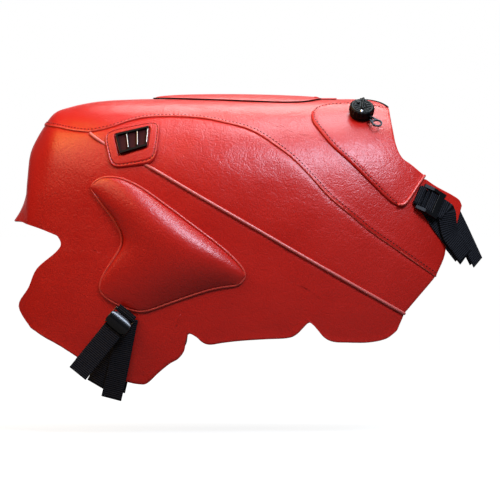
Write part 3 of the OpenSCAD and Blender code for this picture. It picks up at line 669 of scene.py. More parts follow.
@dataclass
class MeshData:
    """Points and faces of one piece, in millimetres, on the right side."""

    points: list = field(default_factory=list)
    faces: list = field(default_factory=list)
    slots: list = field(default_factory=list)
    uv: list = field(default_factory=list)

    def add(self, points: Points, faces: Iterable[Sequence[int]], uv: Optional[Points] = None) -> None:
        """Adds points and the faces between them, with material slot 0.

        Args:
            points: The points, one per row.
            faces: Faces as numbers of those points.
            uv: Place on the material of each point, in metres.
        """
        start = len(self.points)
        self.points.extend(points)
        self.uv.extend(np.zeros((len(points), 2)) if uv is None else uv)
        before = len(self.faces)
        self.faces.extend(tuple(start + i for i in face) for face in faces)
        self.slots.extend([0] * (len(self.faces) - before))

    def join(self, other: "MeshData") -> None:
        """Adds another mesh, in its own place and with its own slots.

        Args:
            other: The other mesh.
        """
        before = len(self.slots)
        self.add(other.points, other.faces, uv=other.uv)
        self.slots[before:] = other.slots

    def make(self, name: str, materials: Sequence[Material], side: Side = Side.RIGHT) -> bpy.types.Object:
        """Makes the object.

        Args:
            name: Name of the piece.
            materials: Materials by slot.
            side: The left side is the mirror image of the right.
        Returns:
            The linked object.
        """
        points = np.asarray(self.points, float) * MM
        faces = self.faces
        if side is Side.LEFT:
            points = points * (1, -1, 1)
            faces = [face[::-1] for face in faces]
        mesh = bpy.data.meshes.new(name)
        mesh.from_pydata(points.tolist(), [], faces)
        for material in materials:
            mesh.materials.append(material)
        mesh.polygons.foreach_set("material_index", self.slots)
        mesh.polygons.foreach_set("use_smooth", [True] * len(faces))
        corners = np.array([loop.vertex_index for loop in mesh.loops])
        layer = mesh.uv_layers.new(name="UVMap")
        layer.data.foreach_set("uv", np.asarray(self.uv, np.float32)[corners].ravel())
        mesh.update()
        piece = bpy.data.objects.new(name, mesh)
        bpy.context.scene.collection.objects.link(piece)
        return piece


def grid_faces(rows: int, cols: int, start: int = 0, flip: bool = False, wrap: bool = False) -> list:
    """Four-sided faces of a grid of points.

    Args:
        rows: Number of rows of points.
        cols: Number of points in a row.
        start: Number of the first point.
        flip: Turns the faces over.
        wrap: Joins the last column to the first.
    Returns:
        The faces.
    """
    faces = []
    for r in range(rows - 1):
        for c in range(cols if wrap else cols - 1):
            right = (c + 1) % cols
            face = (r * cols + c, r * cols + right, (r + 1) * cols + right, (r + 1) * cols + c)
            faces.append(tuple(start + i for i in (face[::-1] if flip else face)))
    return faces


def end_faces(rings: int, sides: int, flip: bool = False) -> list:
    """Faces that close the first and the last ring of a tube."""
    ends = [tuple(range(sides)), tuple(reversed(range((rings - 1) * sides, rings * sides)))]
    return [end[::-1] for end in ends] if flip else ends


def border(rows: int, cols: int) -> tuple[list, list]:
    """Goes round the edge of a grid.

    Args:
        rows: Number of rows of points.
        cols: Number of points in a row.
    Returns:
        Numbers of the edge's points, and of the neighbour inside each.
    """
    edge = [(0, c) for c in range(cols)] + [(r, cols - 1) for r in range(1, rows)]
    edge += [(rows - 1, c) for c in range(cols - 2, -1, -1)] + [(r, 0) for r in range(rows - 2, 0, -1)]
    inside = [(min(max(r, 1), rows - 2), min(max(c, 1), cols - 2)) for r, c in edge]
    return [r * cols + c for r, c in edge], [r * cols + c for r, c in inside]


# Angles of the rings that round a sheet's edge.
RIM_ANGLES = np.radians([45, 90, 135])


def closed_sheet(outer: Points, inner: Points, rim: float) -> MeshData:
    """Closes two layers of points into a sheet with a rounded, turned edge.

    Args:
        outer: Points of the outer layer by row and column.
        inner: Points of the inner layer.
        rim: How far the rounded edge stands out.
    Returns:
        The mesh; its inner layer has material slot 1.
    """
    rows, cols = outer.shape[:2]
    flat_outer = outer.reshape(-1, 3)
    flat_inner = inner.reshape(-1, 3)
    edge, inside = border(rows, cols)
    away = unit(flat_outer[edge] - flat_outer[inside])
    middle = (flat_outer[edge] + flat_inner[edge]) / 2
    half = (flat_outer[edge] - flat_inner[edge]) / 2
    rings = [middle + half * math.cos(a) + away * rim * math.sin(a) for a in RIM_ANGLES]
    count = rows * cols
    around = len(edge)
    data = MeshData()
    data.add(np.vstack([flat_outer, flat_inner, *rings]), grid_faces(rows, cols))
    data.faces.extend(grid_faces(rows, cols, start=count, flip=True))
    data.slots.extend([1] * (len(data.faces) - len(data.slots)))
    loops = [edge]
    loops += [list(range(2 * count + k * around, 2 * count + (k + 1) * around)) for k in range(len(rings))]
    loops.append([count + i for i in edge])
    for above, below in zip(loops[:-1], loops[1:]):
        for i in range(around):
            j = (i + 1) % around
            data.faces.append((above[j], above[i], below[i], below[j]))
            data.slots.append(0)
    return data


# How far the rings of a cord's rounded end stand out and how wide they are, in shares of its radius.
END_REACH = np.array([0.4, 0.75, 0.95])
END_WIDTH = np.array([0.92, 0.66, 0.3])


def tube(points: Points, ups: Points, radius: float, sides: int = 14, wrap: bool = False) -> MeshData:
    """Runs a round cord through points.

    Args:
        points: The cord's middle line.
        ups: A direction across the cord at each point.
        radius: Radius of the cord.
        sides: Number of sides.
        wrap: Joins the last point to the first.
    Returns:
        The mesh, with rounded ends.
    """
    if wrap:
        headings = unit(np.roll(points, -1, axis=0) - np.roll(points, 1, axis=0))
        radii = np.full(len(points), radius)
    else:
        headings = unit(np.gradient(points, axis=0))
        reach = (END_REACH * radius)[:, None]
        radii = np.concatenate([END_WIDTH[::-1], np.ones(len(points)), END_WIDTH]) * radius
        before = points[:1] - headings[:1] * reach[::-1]
        points = np.vstack([before, points, points[-1:] + headings[-1:] * reach])
        extra = ((len(reach), len(reach)), (0, 0))
        ups = np.pad(ups, extra, mode="edge")
        headings = np.pad(headings, extra, mode="edge")
    across = unit(ups - np.sum(ups * headings, axis=-1, keepdims=True) * headings)
    other = np.cross(headings, across)
    angles = np.linspace(0, 2 * np.pi, sides, endpoint=False)
    ring = np.cos(angles)[None, :, None] * across[:, None] + np.sin(angles)[None, :, None] * other[:, None]
    rings = points[:, None] + ring * radii[:, None, None]
    count = len(points)
    runs = run_lengths(rings[:, 0])
    uv = stacked(angles[None] * radius * MM, runs[:, None] * MM)
    if wrap:
        faces = grid_faces(count + 1, sides, flip=True, wrap=True)
        faces = [tuple(i % (count * sides) for i in face) for face in faces]
    else:
        faces = grid_faces(count, sides, flip=True, wrap=True) + end_faces(count, sides)
    data = MeshData()
    data.add(rings.reshape(-1, 3), faces, uv=uv.reshape(-1, 2))
    return data


@dataclass(frozen=True)
class Fold:
    """How the cloth lies along an edge of a panel: it rises or sinks, puckers, and may have a sewn groove."""

    edge: Edge
    rise: float
    reach: float
    pucker: float = 0.0
    pucker_step: float = 9.0
    drift: float = 2.0
    drift_step: float = 31.0
    groove: float = 0.0
    groove_at: float = STITCH_AT
    groove_reach: float = 1.1

    def lift(self, distance: Points, along: Points) -> Points:
        """Height added to the cloth.

        Args:
            distance: Distance of each point from the edge.
            along: Distance of each point along the edge.
        Returns:
            One height per point.
        """
        near = np.exp(-((distance / self.reach) ** 2))
        wave = np.sin(2 * np.pi * along / self.pucker_step + np.sin(along / self.drift_step) * self.drift)
        sewn = np.exp(-(((distance - self.groove_at) / self.groove_reach) ** 2))
        return near * (self.rise + self.pucker * wave) - self.groove * sewn


def edge_first(grid: Points, edge: Edge) -> Points:
    """Turns a grid so that one of its edges becomes the first row."""
    turned = grid if edge in (Edge.TOP, Edge.LOW) else np.swapaxes(grid, 0, 1)
    return turned[::-1] if edge in (Edge.LOW, Edge.FRONT) else turned


def edge_back(grid: Points, edge: Edge) -> Points:
    """Turns a grid back from what edge_first made of it."""
    turned = grid[::-1] if edge in (Edge.LOW, Edge.FRONT) else grid
    return turned if edge in (Edge.TOP, Edge.LOW) else np.swapaxes(turned, 0, 1)


def from_edge(points: Points, edge: Edge) -> tuple[Points, Points]:
    """Measures a grid of points from one of its edges.

    Args:
        points: The grid, by row and column.
        edge: The edge.
    Returns:
        Distance from the edge and distance along it, for each point.
    """
    turned = edge_first(points, edge)
    steps = np.linalg.norm(np.diff(turned, axis=0), axis=2)
    away = np.concatenate([np.zeros((1, turned.shape[1])), np.cumsum(steps, axis=0)])
    along = np.broadcast_to(run_lengths(turned[0])[None], away.shape)
    return edge_back(away, edge), edge_back(along, edge)


def line_from_edge(points: Points, edge: Edge, distance: float) -> tuple[Points, Points]:
    """Finds the line on a grid that keeps a distance from an edge.

    Args:
        points: The grid, by row and column.
        edge: The edge.
        distance: Distance of the line from it.
    Returns:
        Points of the line, and the directions off the surface at them.
    """
    normals = unit(np.cross(np.gradient(points, axis=0), np.gradient(points, axis=1)))
    away = edge_first(from_edge(points, edge)[0], edge)
    both = edge_first(np.concatenate([points, normals], axis=2), edge)
    columns = range(both.shape[1])
    line = np.array([[np.interp(distance, away[:, c], both[:, c, k]) for k in range(6)] for c in columns])
    return line[:, :3], unit(line[:, 3:])


@dataclass(frozen=True)
class Stitching:
    """A row of lockstitches: short threads that rise out of the cloth and dip back into it."""

    pitch: float = 4.6
    length: float = 3.0
    thread: float = 1.1
    sink: float = 0.3
    taper: float = 0.9
    rings: int = 5
    sides: int = 6

    def sew(self, data: MeshData, line: Points, offs: Points) -> None:
        """Adds a row of stitches to a mesh.

        Args:
            data: The mesh.
            line: The sewn line.
            offs: Directions off the cloth along it.
        """
        runs = run_lengths(line)
        count = int(runs[-1] / self.pitch)
        turn = np.linspace(0, 2 * np.pi, self.sides, endpoint=False)
        share = np.linspace(-1, 1, self.rings)
        swell = np.sqrt(np.clip(1 - share**2 * self.taper, 0, 1))
        faces = grid_faces(self.rings, self.sides, wrap=True) + end_faces(self.rings, self.sides, flip=True)
        for i in range(count):
            middle = (i + 0.5) * runs[-1] / count
            spots = at_lengths(line, middle + share * self.length / 2)
            up = unit(np.array([np.interp(middle, runs, offs[:, k]) for k in range(3)]))
            across = np.cross(unit(spots[-1] - spots[0]), up)
            arch = spots + up * (swell * self.thread / 2 - self.sink)[:, None]
            ring = np.cos(turn)[None, :, None] * up + np.sin(turn)[None, :, None] * across
            points = arch[:, None] + ring * (swell * self.thread / 2)[:, None, None]
            data.add(points.reshape(-1, 3), faces)


# Fine ripples on the broad ones: how much shorter they are, and their share of the height.
FINE_TIMES = 2.3
FINE_SHARE = 0.5


def ripples(points: Points, size: float, height: float) -> Points:
    """Gentle unevenness of cloth.

    Args:
        points: Points on the cloth.
        size: Rough length of a ripple.
        height: Greatest height of one.
    Returns:
        One height per point.
    """
    flat = points.reshape(-1, 3) / size
    heights = [noise.noise(Vector(p)) + FINE_SHARE * noise.noise(Vector(p * FINE_TIMES)) for p in flat]
    return np.array(heights).reshape(points.shape[:-1]) * height / (1 + FINE_SHARE)


def settle(piece: bpy.types.Object, body: str, nodes: Sequence[str] = ()) -> None:
    """Ties a finished piece to its body and the CAD nodes that it stands for.

    Args:
        piece: The piece.
        body: Name of the CAD body.
        nodes: Names of the CAD nodes.
    """
    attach(piece, body)
    if nodes:
        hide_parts(*nodes)
    log.info("%s: %d faces, rides on %s", piece.name, len(piece.data.polygons), body)


def declare_sheet(surface: Points, rests_on: Sequence[str]) -> None:
    """Measures the flat size that a piece's surface unfolds to, and does not keep it.

    Args:
        surface: Its outer layer, by row and column, in millimetres.
        rests_on: Names of what it lies on or hangs from; not used.
    """
    across = np.linalg.norm(np.diff(surface, axis=0), axis=2).sum(axis=0)
    along = np.linalg.norm(np.diff(surface, axis=1), axis=2).sum(axis=1)


@dataclass(frozen=True)
class Seams:
    """Lines where the panels are sewn together, seen from the side."""

    form: TankForm
    refine: int = 5
    rear_spans: int = 7
    front_spans: int = 28
    shoulder_rear_shares: Shares = ((7.1, 91.2), (10.2, 90.3), (13.3, 89.3), JUNCTION)
    shoulder_shares: Shares = (
        JUNCTION, (19.2, 89.3), (22, 90.4), (26, 92.6), (30, 93.8), (36, 94), (42, 93.5), (47, 92),
        (53.3, 89.2), (59.3, 83.3), (63, 78.6), (66.5, 73), (70.7, 65.8), (75.3, 59.7), (79.5, 54.1),
        (85.4, 47.6), (94, 38),
    )
    belt_shares: Shares = (
        JUNCTION, (20.1, 84.9), (29.6, 77.3), (42, 66), (53, 56), (64, 45.8), (75, 35.8), (87, 24.9),
    )

    def line(self, shares: Shares, spans: int) -> Points:
        """Evenly spread places on the seam through shares."""
        return self.form.spread_on_skin(self.form.side_curve(shares), spans * self.refine)

    @cached_property
    def shoulder_rear(self) -> Points:
        """Shoulder seam behind the junction."""
        return self.line(self.shoulder_rear_shares, self.rear_spans)

    @cached_property
    def shoulder_front(self) -> Points:
        """Shoulder seam ahead of the junction."""
        return self.line(self.shoulder_shares, self.front_spans)

    @cached_property
    def belt(self) -> Points:
        """Belt seam."""
        return self.line(self.belt_shares, self.front_spans)


@dataclass(frozen=True)
class Panels:
    """The sewn leatherette panels of one side; their rows and columns are counted before they are refined."""

    form: TankForm
    seams: Seams
    finishes: Finishes
    cloth: float = 2.4
    half_seam: float = 0.2
    rim: float = 0.9
    inner_share: float = 0.5
    cheek_low: float = 3.5
    crown_start: float = 9.5
    hole_length: float = 160.0
    hole_width: float = 78.0
    hole_middle: float = 2.0
    ripple_size: float = 42.0
    ripple_height: float = 0.7
    shoulder_rows: int = 9
    side_rows: int = 8
    back_rows: int = 4
    cheek_rows: int = 10
    cheek_cols: int = 8
    tongue_rows: int = 4
    tongue_cols: int = 8
    shoulder_folds: tuple[Fold, ...] = (Fold(Edge.LOW, rise=1.1, reach=3.6, pucker=0.2, groove=0.6),)
    side_folds: tuple[Fold, ...] = (
        Fold(Edge.TOP, rise=-0.9, reach=4.0, pucker=0.15),
        Fold(Edge.LOW, rise=-0.5, reach=4.0, pucker=0.12),
    )
    lower_folds: tuple[Fold, ...] = (
        Fold(Edge.TOP, rise=-0.6, reach=4.0, pucker=0.12),
        Fold(Edge.LOW, rise=0.5, reach=5.0, pucker=0.2, pucker_step=14.0),
    )
    cheek_folds: tuple[Fold, ...] = (
        Fold(Edge.REAR, rise=-0.8, reach=2.0, pucker=0.15, groove=0.4),
        Fold(Edge.TOP, rise=-0.8, reach=2.0, pucker=0.15, groove=0.5),
        Fold(Edge.LOW, rise=0.4, reach=3.0, pucker=0.2),
    )
    front_shares: Shares = (
        (84.1, 91.4), (85, 83.5), (86.3, 79.2), (88.3, 76.8), (91.3, 73), (93, 65), (95.4, 55), (96.2, 46.5),
    )
    tail_shares: Shares = (
        (0, 56.8), (0.6, 56.9), (2, 56.8), (4.4, 56.3), (7.4, 55.3), (9.6, 53.2), (10.9, 49.6), (9.8, 46.3),
        (5.6, 40.4), (3.7, 33.7), (1.4, 27), (4.2, 19.5),
    )
    hem_shares: Shares = (
        (4.2, 19.5), (4.5, 19.2), (5.3, 18.3), (7.3, 16.2), (10.5, 13.5), (14.6, 9.4), (18, 6.2),
        (21.5, 3.4), (25.2, 1), (28.6, 0), (30.2, 0.7), (32.4, 4), (34.9, 7.3), (36.9, 9.2), (38.2, 12),
        (38.6, 15.5), (39.3, 18), (40.9, 16.9), (42.4, 14.9), (44, 14.2), (47, 14.9), (51, 15.6), (56, 16.1),
        (61, 16.5), (63.2, 17.9), (65.6, 21.7), (66.6, 21.4), (67.8, 19.4), (69.3, 16.7), (71.3, 15.2),
        (74.5, 14.9), (78, 14.8), (80.6, 15.2), (82.9, 16.1), (84.4, 17.6), (85.4, 18.9),
    )
    cheek_top_shares: Shares = ((67.7, 96.3), (69.7, 97.2), (73, 97.8), (78, 97.8), (83.6, 96.4))
    cheek_rear_shares: Shares = (
        (67.7, 96.3), (66.7, 94.6), (66.7, 93), (67.4, 90.8), (71.1, 83.7), (75.4, 77.6), (83.4, 65.2),
        (85.6, 63),
    )
    cheek_hem_shares: Shares = ((85.6, 63), (87.1, 63.6), (89.5, 69), (91.2, 72.9))
    cheek_front_shares: Shares = (
        (83.6, 96.4), (84.2, 90.2), (85, 83.5), (86.3, 79.2), (88.3, 76.8), (91.2, 72.9),
    )
    tongue_top_shares: Shares = ((91.9, 71.9), (94.3, 69.3), (97.5, 66.6), (99.4, 64.6), (100, 62.6))
    tongue_low_shares: Shares = ((93.6, 63.4), (95, 61.2), (96.6, 59.3), (98.5, 55))

    def surface(self, cells: Points, low: float, folds: Sequence[Fold]) -> Pair:
        """Lays cloth on the form.

        Args:
            cells: Grid of places seen from the side.
            low: Height of the cloth's inner face above the form.
            folds: How the cloth lies along its edges.
        Returns:
            Points of the outer and the inner layer.
        """
        high = low + self.cloth
        flat = self.form.lifted(cells, np.full(cells.shape[:2], high))
        rise = ripples(flat, self.ripple_size, self.ripple_height)
        for fold in folds:
            rise = rise + fold.lift(*from_edge(flat, fold.edge))
        return self.form.lifted(cells, high + rise), self.form.lifted(cells, low + self.inner_share * rise)

    @cached_property
    def shoulder(self) -> Pair:
        """Lays the top panel, from the middle seam to the shoulder seam.

        Returns:
            Its outer and inner layer.
        """
        form = self.form
        low = np.vstack([self.seams.shoulder_rear, self.seams.shoulder_front[1:]]) + (0, self.half_seam)
        x = np.linspace(form.along(self.crown_start), form.notch_plan[0, 0], len(low))
        across = np.clip(1 - ((x - self.hole_middle) / (self.hole_length / 2)) ** 2, 0, 1)
        top = stacked(x, form.top_at(x, self.hole_width / 2 * np.sqrt(across)))
        rows = self.shoulder_rows * self.seams.refine
        rear = form.on_crown(self.crown_start, self.seams.shoulder_rear_shares[0][0], rows)
        notch_x, notch_y = form.notch_plan.T
        notch = stacked(notch_x, form.top_at(notch_x, notch_y))
        front = spread(smooth_curve(np.vstack([notch, form.side(self.front_shares), low[-1:]])), rows)
        return self.surface(form.crown_coons(top, low, rear, front), 0.0, self.shoulder_folds)

    @cached_property
    def flank(self) -> Pair:
        """Lays the side panel between the shoulder seam and the belt seam, from just ahead of the junction.

        Returns:
            Its outer and inner layer.
        """
        top = self.seams.shoulder_front[1:] - (0, self.half_seam)
        low = self.seams.belt[1:] + (0, self.half_seam)
        return self.surface(between(top, low, self.side_rows * self.seams.refine), 0.0, self.side_folds)

    @cached_property
    def lower(self) -> Pair:
        """Lays the lower panel, from the belt seam to the hem.

        Returns:
            Its outer and inner layer.
        """
        refine = self.seams.refine
        top = np.vstack([self.seams.shoulder_rear, self.seams.belt[1:]]) - (0, self.half_seam)
        low = self.form.side_curve(self.hem_shares, refine)
        back = self.form.on_crown(self.seams.shoulder_rear_shares[0][0], 0.0, self.back_rows * refine)
        rear = np.vstack([back, self.form.side_curve(self.tail_shares, refine)[1:]])
        cells = coons(top, low, rear, straight(top[-1], low[-1], len(rear) - 1))
        return self.surface(cells, 0.0, self.lower_folds)

    @cached_property
    def cheek(self) -> Pair:
        """Lays the front panel, sewn over the shoulder panel.

        Returns:
            Its outer and inner layer.
        """
        cols = self.cheek_cols * self.seams.refine
        rows = self.cheek_rows * self.seams.refine
        edges = [
            (self.cheek_top_shares, cols),
            (self.cheek_hem_shares, cols),
            (self.cheek_rear_shares, rows),
            (self.cheek_front_shares, rows),
        ]
        lines = [spread(self.form.side_curve(shares), count) for shares, count in edges]
        return self.surface(self.form.crown_coons(*lines), self.cheek_low, self.cheek_folds)

    @cached_property
    def tongue(self) -> Pair:
        """Lays the front tongue that the strap is tucked under.

        Returns:
            Its outer and inner layer.
        """
        cols = self.tongue_cols * self.seams.refine
        top = spread(self.form.side_curve(self.tongue_top_shares), cols)
        low = spread(self.form.side_curve(self.tongue_low_shares), cols)
        return self.surface(between(top, low, self.tongue_rows * self.seams.refine), 0.0, [])

    def build(self, side: Side) -> None:
        """Makes all the panels of one side, and the stitches along their edges.

        Args:
            side: Side of the motorcycle.
        """
        materials = self.finishes.lined
        # Name of each, its CAD node, its layers, what it is sewn to, and its edges with a row of stitches.
        panels = [
            ("shoulder_cloth", "shoulder_panel", self.shoulder, "side_panel", [Edge.LOW]),
            ("side_cloth", "side_panel", self.flank, "lower_panel", []),
            ("lower_cloth", "lower_panel", self.lower, "side_panel", []),
            ("cheek_cloth", "front_panel", self.cheek, "shoulder_panel", [Edge.REAR, Edge.TOP]),
            ("tongue_cloth", "tongue", self.tongue, "shoulder_panel", []),
        ]
        for name, node, (outer, inner), rests_on, rows in panels:
            panel = closed_sheet(outer, inner, self.rim).make(side.node(name), materials, side)
            settle(panel, "cover", [side.node(node)])
            declare_sheet(outer, [side.node(rests_on)])
            sewn = MeshData()
            for edge in rows:
                Stitching().sew(sewn, *line_from_edge(outer, edge, STITCH_AT))
            if rows:
                thread = sewn.make(side.node(f"{name}_stitches"), [self.finishes.thread.material], side)
                settle(thread, "cover")


@dataclass(frozen=True)
class KneePad:
    """The foam knee cushion and its cover, swelled by a cloth simulation."""

    form: TankForm
    finishes: Finishes
    cols: int = 84
    rows: int = 52
    low: float = 2.9
    sink: float = 0.4
    edge: float = 2.4
    height: float = 17.0
    skew: float = 0.78
    full_along: float = 0.75
    full_across: float = 0.9
    rim: float = 1.0
    pressure: float = 4.0
    frames: int = 20
    most_move: float = 6.0
    cord_out: float = 1.8
    cord_lift: float = 3.3
    cord_radius: float = 1.5
    outline_points: int = 220
    outline_passes: int = 6
    fill: float = 0.9
    top_shares: Shares = (
        (17.7, 69.4), (20.2, 72.2), (24, 72), (28.5, 68.9), (34.5, 62.3), (39.8, 56), (46.2, 48.2),
        (50.2, 42.2), (51.8, 38.4),
    )
    rear_shares: Shares = (
        (17.7, 69.4), (20, 64.5), (22.9, 58.6), (24.8, 52.6), (24.6, 48.2), (22.2, 42), (20.4, 37.3),
        (19.8, 33.8),
    )
    low_shares: Shares = (
        (19.8, 33.8), (21.1, 31), (24.9, 27.8), (29.1, 26.2), (34.5, 28.9), (39.8, 31.9), (45.1, 34.4),
        (50.4, 35.6),
    )

    @cached_property
    def cells(self) -> Points:
        """Lays a grid under the pad.

        Returns:
            Places seen from the side, by row and column.
        """
        top = spread(self.form.side_curve(self.top_shares), self.cols)
        low = spread(self.form.side_curve(self.low_shares), self.cols)
        rear = spread(self.form.side_curve(self.rear_shares), self.rows)
        return coons(top, low, rear, straight(top[-1], low[-1], self.rows))

    def outline(self, out: float) -> Points:
        """Line round the pad, seen from the side.

        Args:
            out: Distance outside the pad's edge.
        Returns:
            Places on the line, round once.
        """
        c = self.cells
        loop = np.vstack([c[0], c[1:, -1], c[-1, -2::-1], c[-2:0:-1, 0]])
        smooth = spread(np.vstack([loop, loop[:1]]), self.outline_points)[:-1]
        for _ in range(self.outline_passes):
            smooth = (np.roll(smooth, 1, axis=0) + 2 * smooth + np.roll(smooth, -1, axis=0)) / 4
        heading = unit(np.roll(smooth, -1, axis=0) - np.roll(smooth, 1, axis=0))
        return smooth + out * stacked(-heading[:, 1], heading[:, 0])

    @cached_property
    def cushion(self) -> MeshData:
        """Sews the cushion and lets the foam swell it, once for both sides.

        Returns:
            The mesh.
        """
        u = np.linspace(0, 1, self.cols + 1)[None]
        t = np.linspace(0, 1, self.rows + 1)[:, None]
        along = np.clip(np.sin(np.pi * u**self.skew), 0, 1) ** self.full_along
        across = np.clip(np.sin(np.pi * t**self.skew), 0, 1) ** self.full_across
        outer = self.form.lifted(self.cells, self.low + self.edge + self.height * along * across)
        inner = self.form.lifted(self.cells, np.full(self.cells.shape[:2], self.low - self.sink))
        data = closed_sheet(outer, inner, self.rim)
        free = np.zeros((self.rows + 1, self.cols + 1), bool)
        free[1:-1, 1:-1] = True
        self.swell(data, np.flatnonzero(free))
        return data

    def swell(self, data: MeshData, free: Points) -> None:
        """Blows a mesh up with a cloth simulation and puts the result back into it.

        Args:
            data: The mesh.
            free: Numbers of the points that aren't sewn down.
        """
        piece = data.make("pad_in_simulation", [])
        shell = bmesh.new()
        shell.from_mesh(piece.data)
        bmesh.ops.recalc_face_normals(shell, faces=shell.faces)
        shell.to_mesh(piece.data)
        shell.free()
        held = piece.vertex_groups.new(name="sewn")
        held.add(np.setdiff1d(np.arange(len(data.points)), free).tolist(), 1.0, "REPLACE")
        cloth = piece.modifiers.new("Cloth", "CLOTH")
        cloth.settings.vertex_group_mass = held.name
        cloth.settings.use_pressure = True
        cloth.settings.uniform_pressure_force = self.pressure
        cloth.settings.effector_weights.gravity = 0.0
        cloth.point_cache.frame_end = self.frames
        scene = bpy.context.scene
        for number in range(1, self.frames + 1):
            scene.frame_set(number)
        shape = piece.evaluated_get(bpy.context.evaluated_depsgraph_get()).data
        start = np.asarray(data.points, float)
        moved = np.array([v.co for v in shape.vertices]) / MM - start
        far = np.maximum(np.linalg.norm(moved, axis=1, keepdims=True), 1e-9)
        data.points = list(start + moved * np.minimum(1, self.most_move / far))
        log.info("%s: the cloth moved up to %.1f mm", piece.name, far.max())
        scene.frame_set(1)
        bpy.data.objects.remove(piece)

    def build(self, side: Side) -> None:
        """Makes the pad and its piping.

        Args:
            side: Side of the motorcycle.
        """
        materials = [self.finishes.pad.material, self.finishes.fleece.material]
        pad = self.cushion.make(side.node("knee_pad"), materials, side)
        smooth = pad.modifiers.new("Smooth", "SUBSURF")
        smooth.levels = 1
        smooth.render_levels = 1
        settle(pad, "cover", [side.node("knee_cover"), side.node("knee_foam")])
        line = self.outline(self.cord_out)
        points = self.form.lifted(line, self.cord_lift)
        cord = tube(points, self.form.outward(line), self.cord_radius, wrap=True)
        piping = cord.make(side.node("knee_cord"), [self.finishes.piping.material], side)
        settle(piping, "cover", [side.node("knee_piping")])


@dataclass(frozen=True)
class Piping:
    """Piping cords in the seams of one side."""

    form: TankForm
    seams: Seams
    panels: Panels
    finishes: Finishes
    radius: float = 1.6
    shoulder_radius: float = 1.3
    shoulder_lift: float = 2.2
    belt_radius: float = 1.9
    belt_lift: float = 3.2
    belt_start: float = 17.3
    belt_steps: int = 300
    dip_lift: float = 1.2
    dip_reach: float = 9.0
    cheek_lift: float = 6.4
    hem_steps: int = 40
    patch_rear: float = 20.9
    patch_front: float = 29.4
    rear_skip: int = 2

    def dipped(self, cells: Points) -> Points:
        """Heights of the belt cord, which sinks where its first end goes under the patch."""
        return np.interp(run_lengths(cells), [0, self.dip_reach], [self.dip_lift, self.belt_lift])

    def build(self, side: Side) -> None:
        """Makes all the cords of one side.

        Args:
            side: Side of the motorcycle.
        """
        seams = self.seams
        shoulder = np.vstack([seams.shoulder_rear[self.rear_skip :], seams.shoulder_front[1:]])
        belt = spread(seams.belt, self.belt_steps)
        front = belt[belt[:, 0] > self.form.along(self.patch_front)]
        behind = belt[:, 0] < self.form.along(self.patch_rear)
        rear = belt[behind & (belt[:, 0] > self.form.along(self.belt_start))][::-1]
        hem = spread(self.form.side_curve(self.panels.cheek_hem_shares), self.hem_steps)
        red = self.finishes.piping
        # The belt cords' paler colour is a painted highlight.
        pale = self.finishes.pale_piping
        cords = [
            ("shoulder_cord", "shoulder_piping", shoulder, self.shoulder_lift, self.shoulder_radius, red),
            ("belt_cord", "belt_piping", front, self.dipped(front), self.belt_radius, pale),
            ("belt_cord_rear", "belt_piping_rear", rear, self.dipped(rear), self.belt_radius, pale),
            ("cheek_cord", "front_piping", hem, self.cheek_lift, self.radius, red),
        ]
        for name, node, cells, lift, radius, finish in cords:
            data = tube(self.form.lifted(cells, lift), self.form.outward(cells), radius)
            piece = data.make(side.node(name), [finish.material], side)
            settle(piece, "cover", [side.node(node)])


@dataclass(frozen=True)
class LocalFrame:
    """A place on the skin with its own directions: X along, Z outward, in millimetres."""

    origin: Points
    axes: Points

    @classmethod
    def towards(cls, origin: Points, x: Points, z: Points) -> "LocalFrame":
        """Frame at an origin, with +Z as given and +X leaning to the given direction."""
        along = unit(x - np.dot(x, z) * z)
        return cls(origin, np.stack([along, np.cross(z, along), z]))

    @classmethod
    def on_skin(cls, form: TankForm, at: Sequence[float], to: Sequence[float], rise: float) -> "LocalFrame":
        """Frame at a height above a place on the form, with +X towards another; both are in shares."""
        p, q = form.side((at, to))
        return cls.towards(form.lifted(p, rise), form.lifted(q, rise) - form.lifted(p, rise), form.outward(p))

    def place(self, points: Points) -> Points:
        """Points in space, from points in this frame."""
        return self.origin + np.asarray(points, float) @ self.axes

    def cord(
        self, path: Points, radius: float, sides: int = 14, wrap: bool = False, up: Optional[Points] = None
    ) -> MeshData:
        """Round cord through points in this frame; up is a way across it, or none for +Z."""
        across = np.asarray((0.0, 0.0, 1.0) if up is None else up) @ self.axes
        return tube(self.place(path), np.tile(across, (len(path), 1)), radius, sides, wrap)


@dataclass(frozen=True)
class Webbing:
    """Flat strips of webbing with rounded edges."""

    width: float = 25.0
    thick: float = 1.4
    edge: float = 0.6
    edge_in: float = 0.15
    edge_share: float = 0.3
    across_steps: int = 12

    def strip(self, points: Points, faces: Points) -> MeshData:
        """Runs a strip through points.

        Args:
            points: Its middle line.
            faces: The way its face looks at each point.
        Returns:
            The mesh.
        """
        heading = unit(np.gradient(points, axis=0))
        side = unit(np.cross(faces, heading))
        up = unit(np.cross(heading, side))
        half = self.width / 2
        flat = np.linspace(-1, 1, self.across_steps + 1) * (half - self.edge)
        upper = stacked(flat, self.thick / 2)
        high = self.edge_share * self.thick
        bulge = np.array([[half - self.edge_in, high], [half, 0.0], [half - self.edge_in, -high]])
        section = np.vstack([upper, bulge, upper[::-1] * (1, -1), bulge[::-1] * (-1, 1)])
        rings = points[:, None] + section[None, :, :1] * side[:, None] + section[None, :, 1:] * up[:, None]
        runs = run_lengths(points)
        uv = stacked(section[None, :, 0] * MM, runs[:, None] * MM)
        count = len(section)
        skin = grid_faces(len(points), count, flip=True, wrap=True) + end_faces(len(points), count)
        data = MeshData()
        data.add(rings.reshape(-1, 3), skin, uv=uv.reshape(-1, 2))
        return data


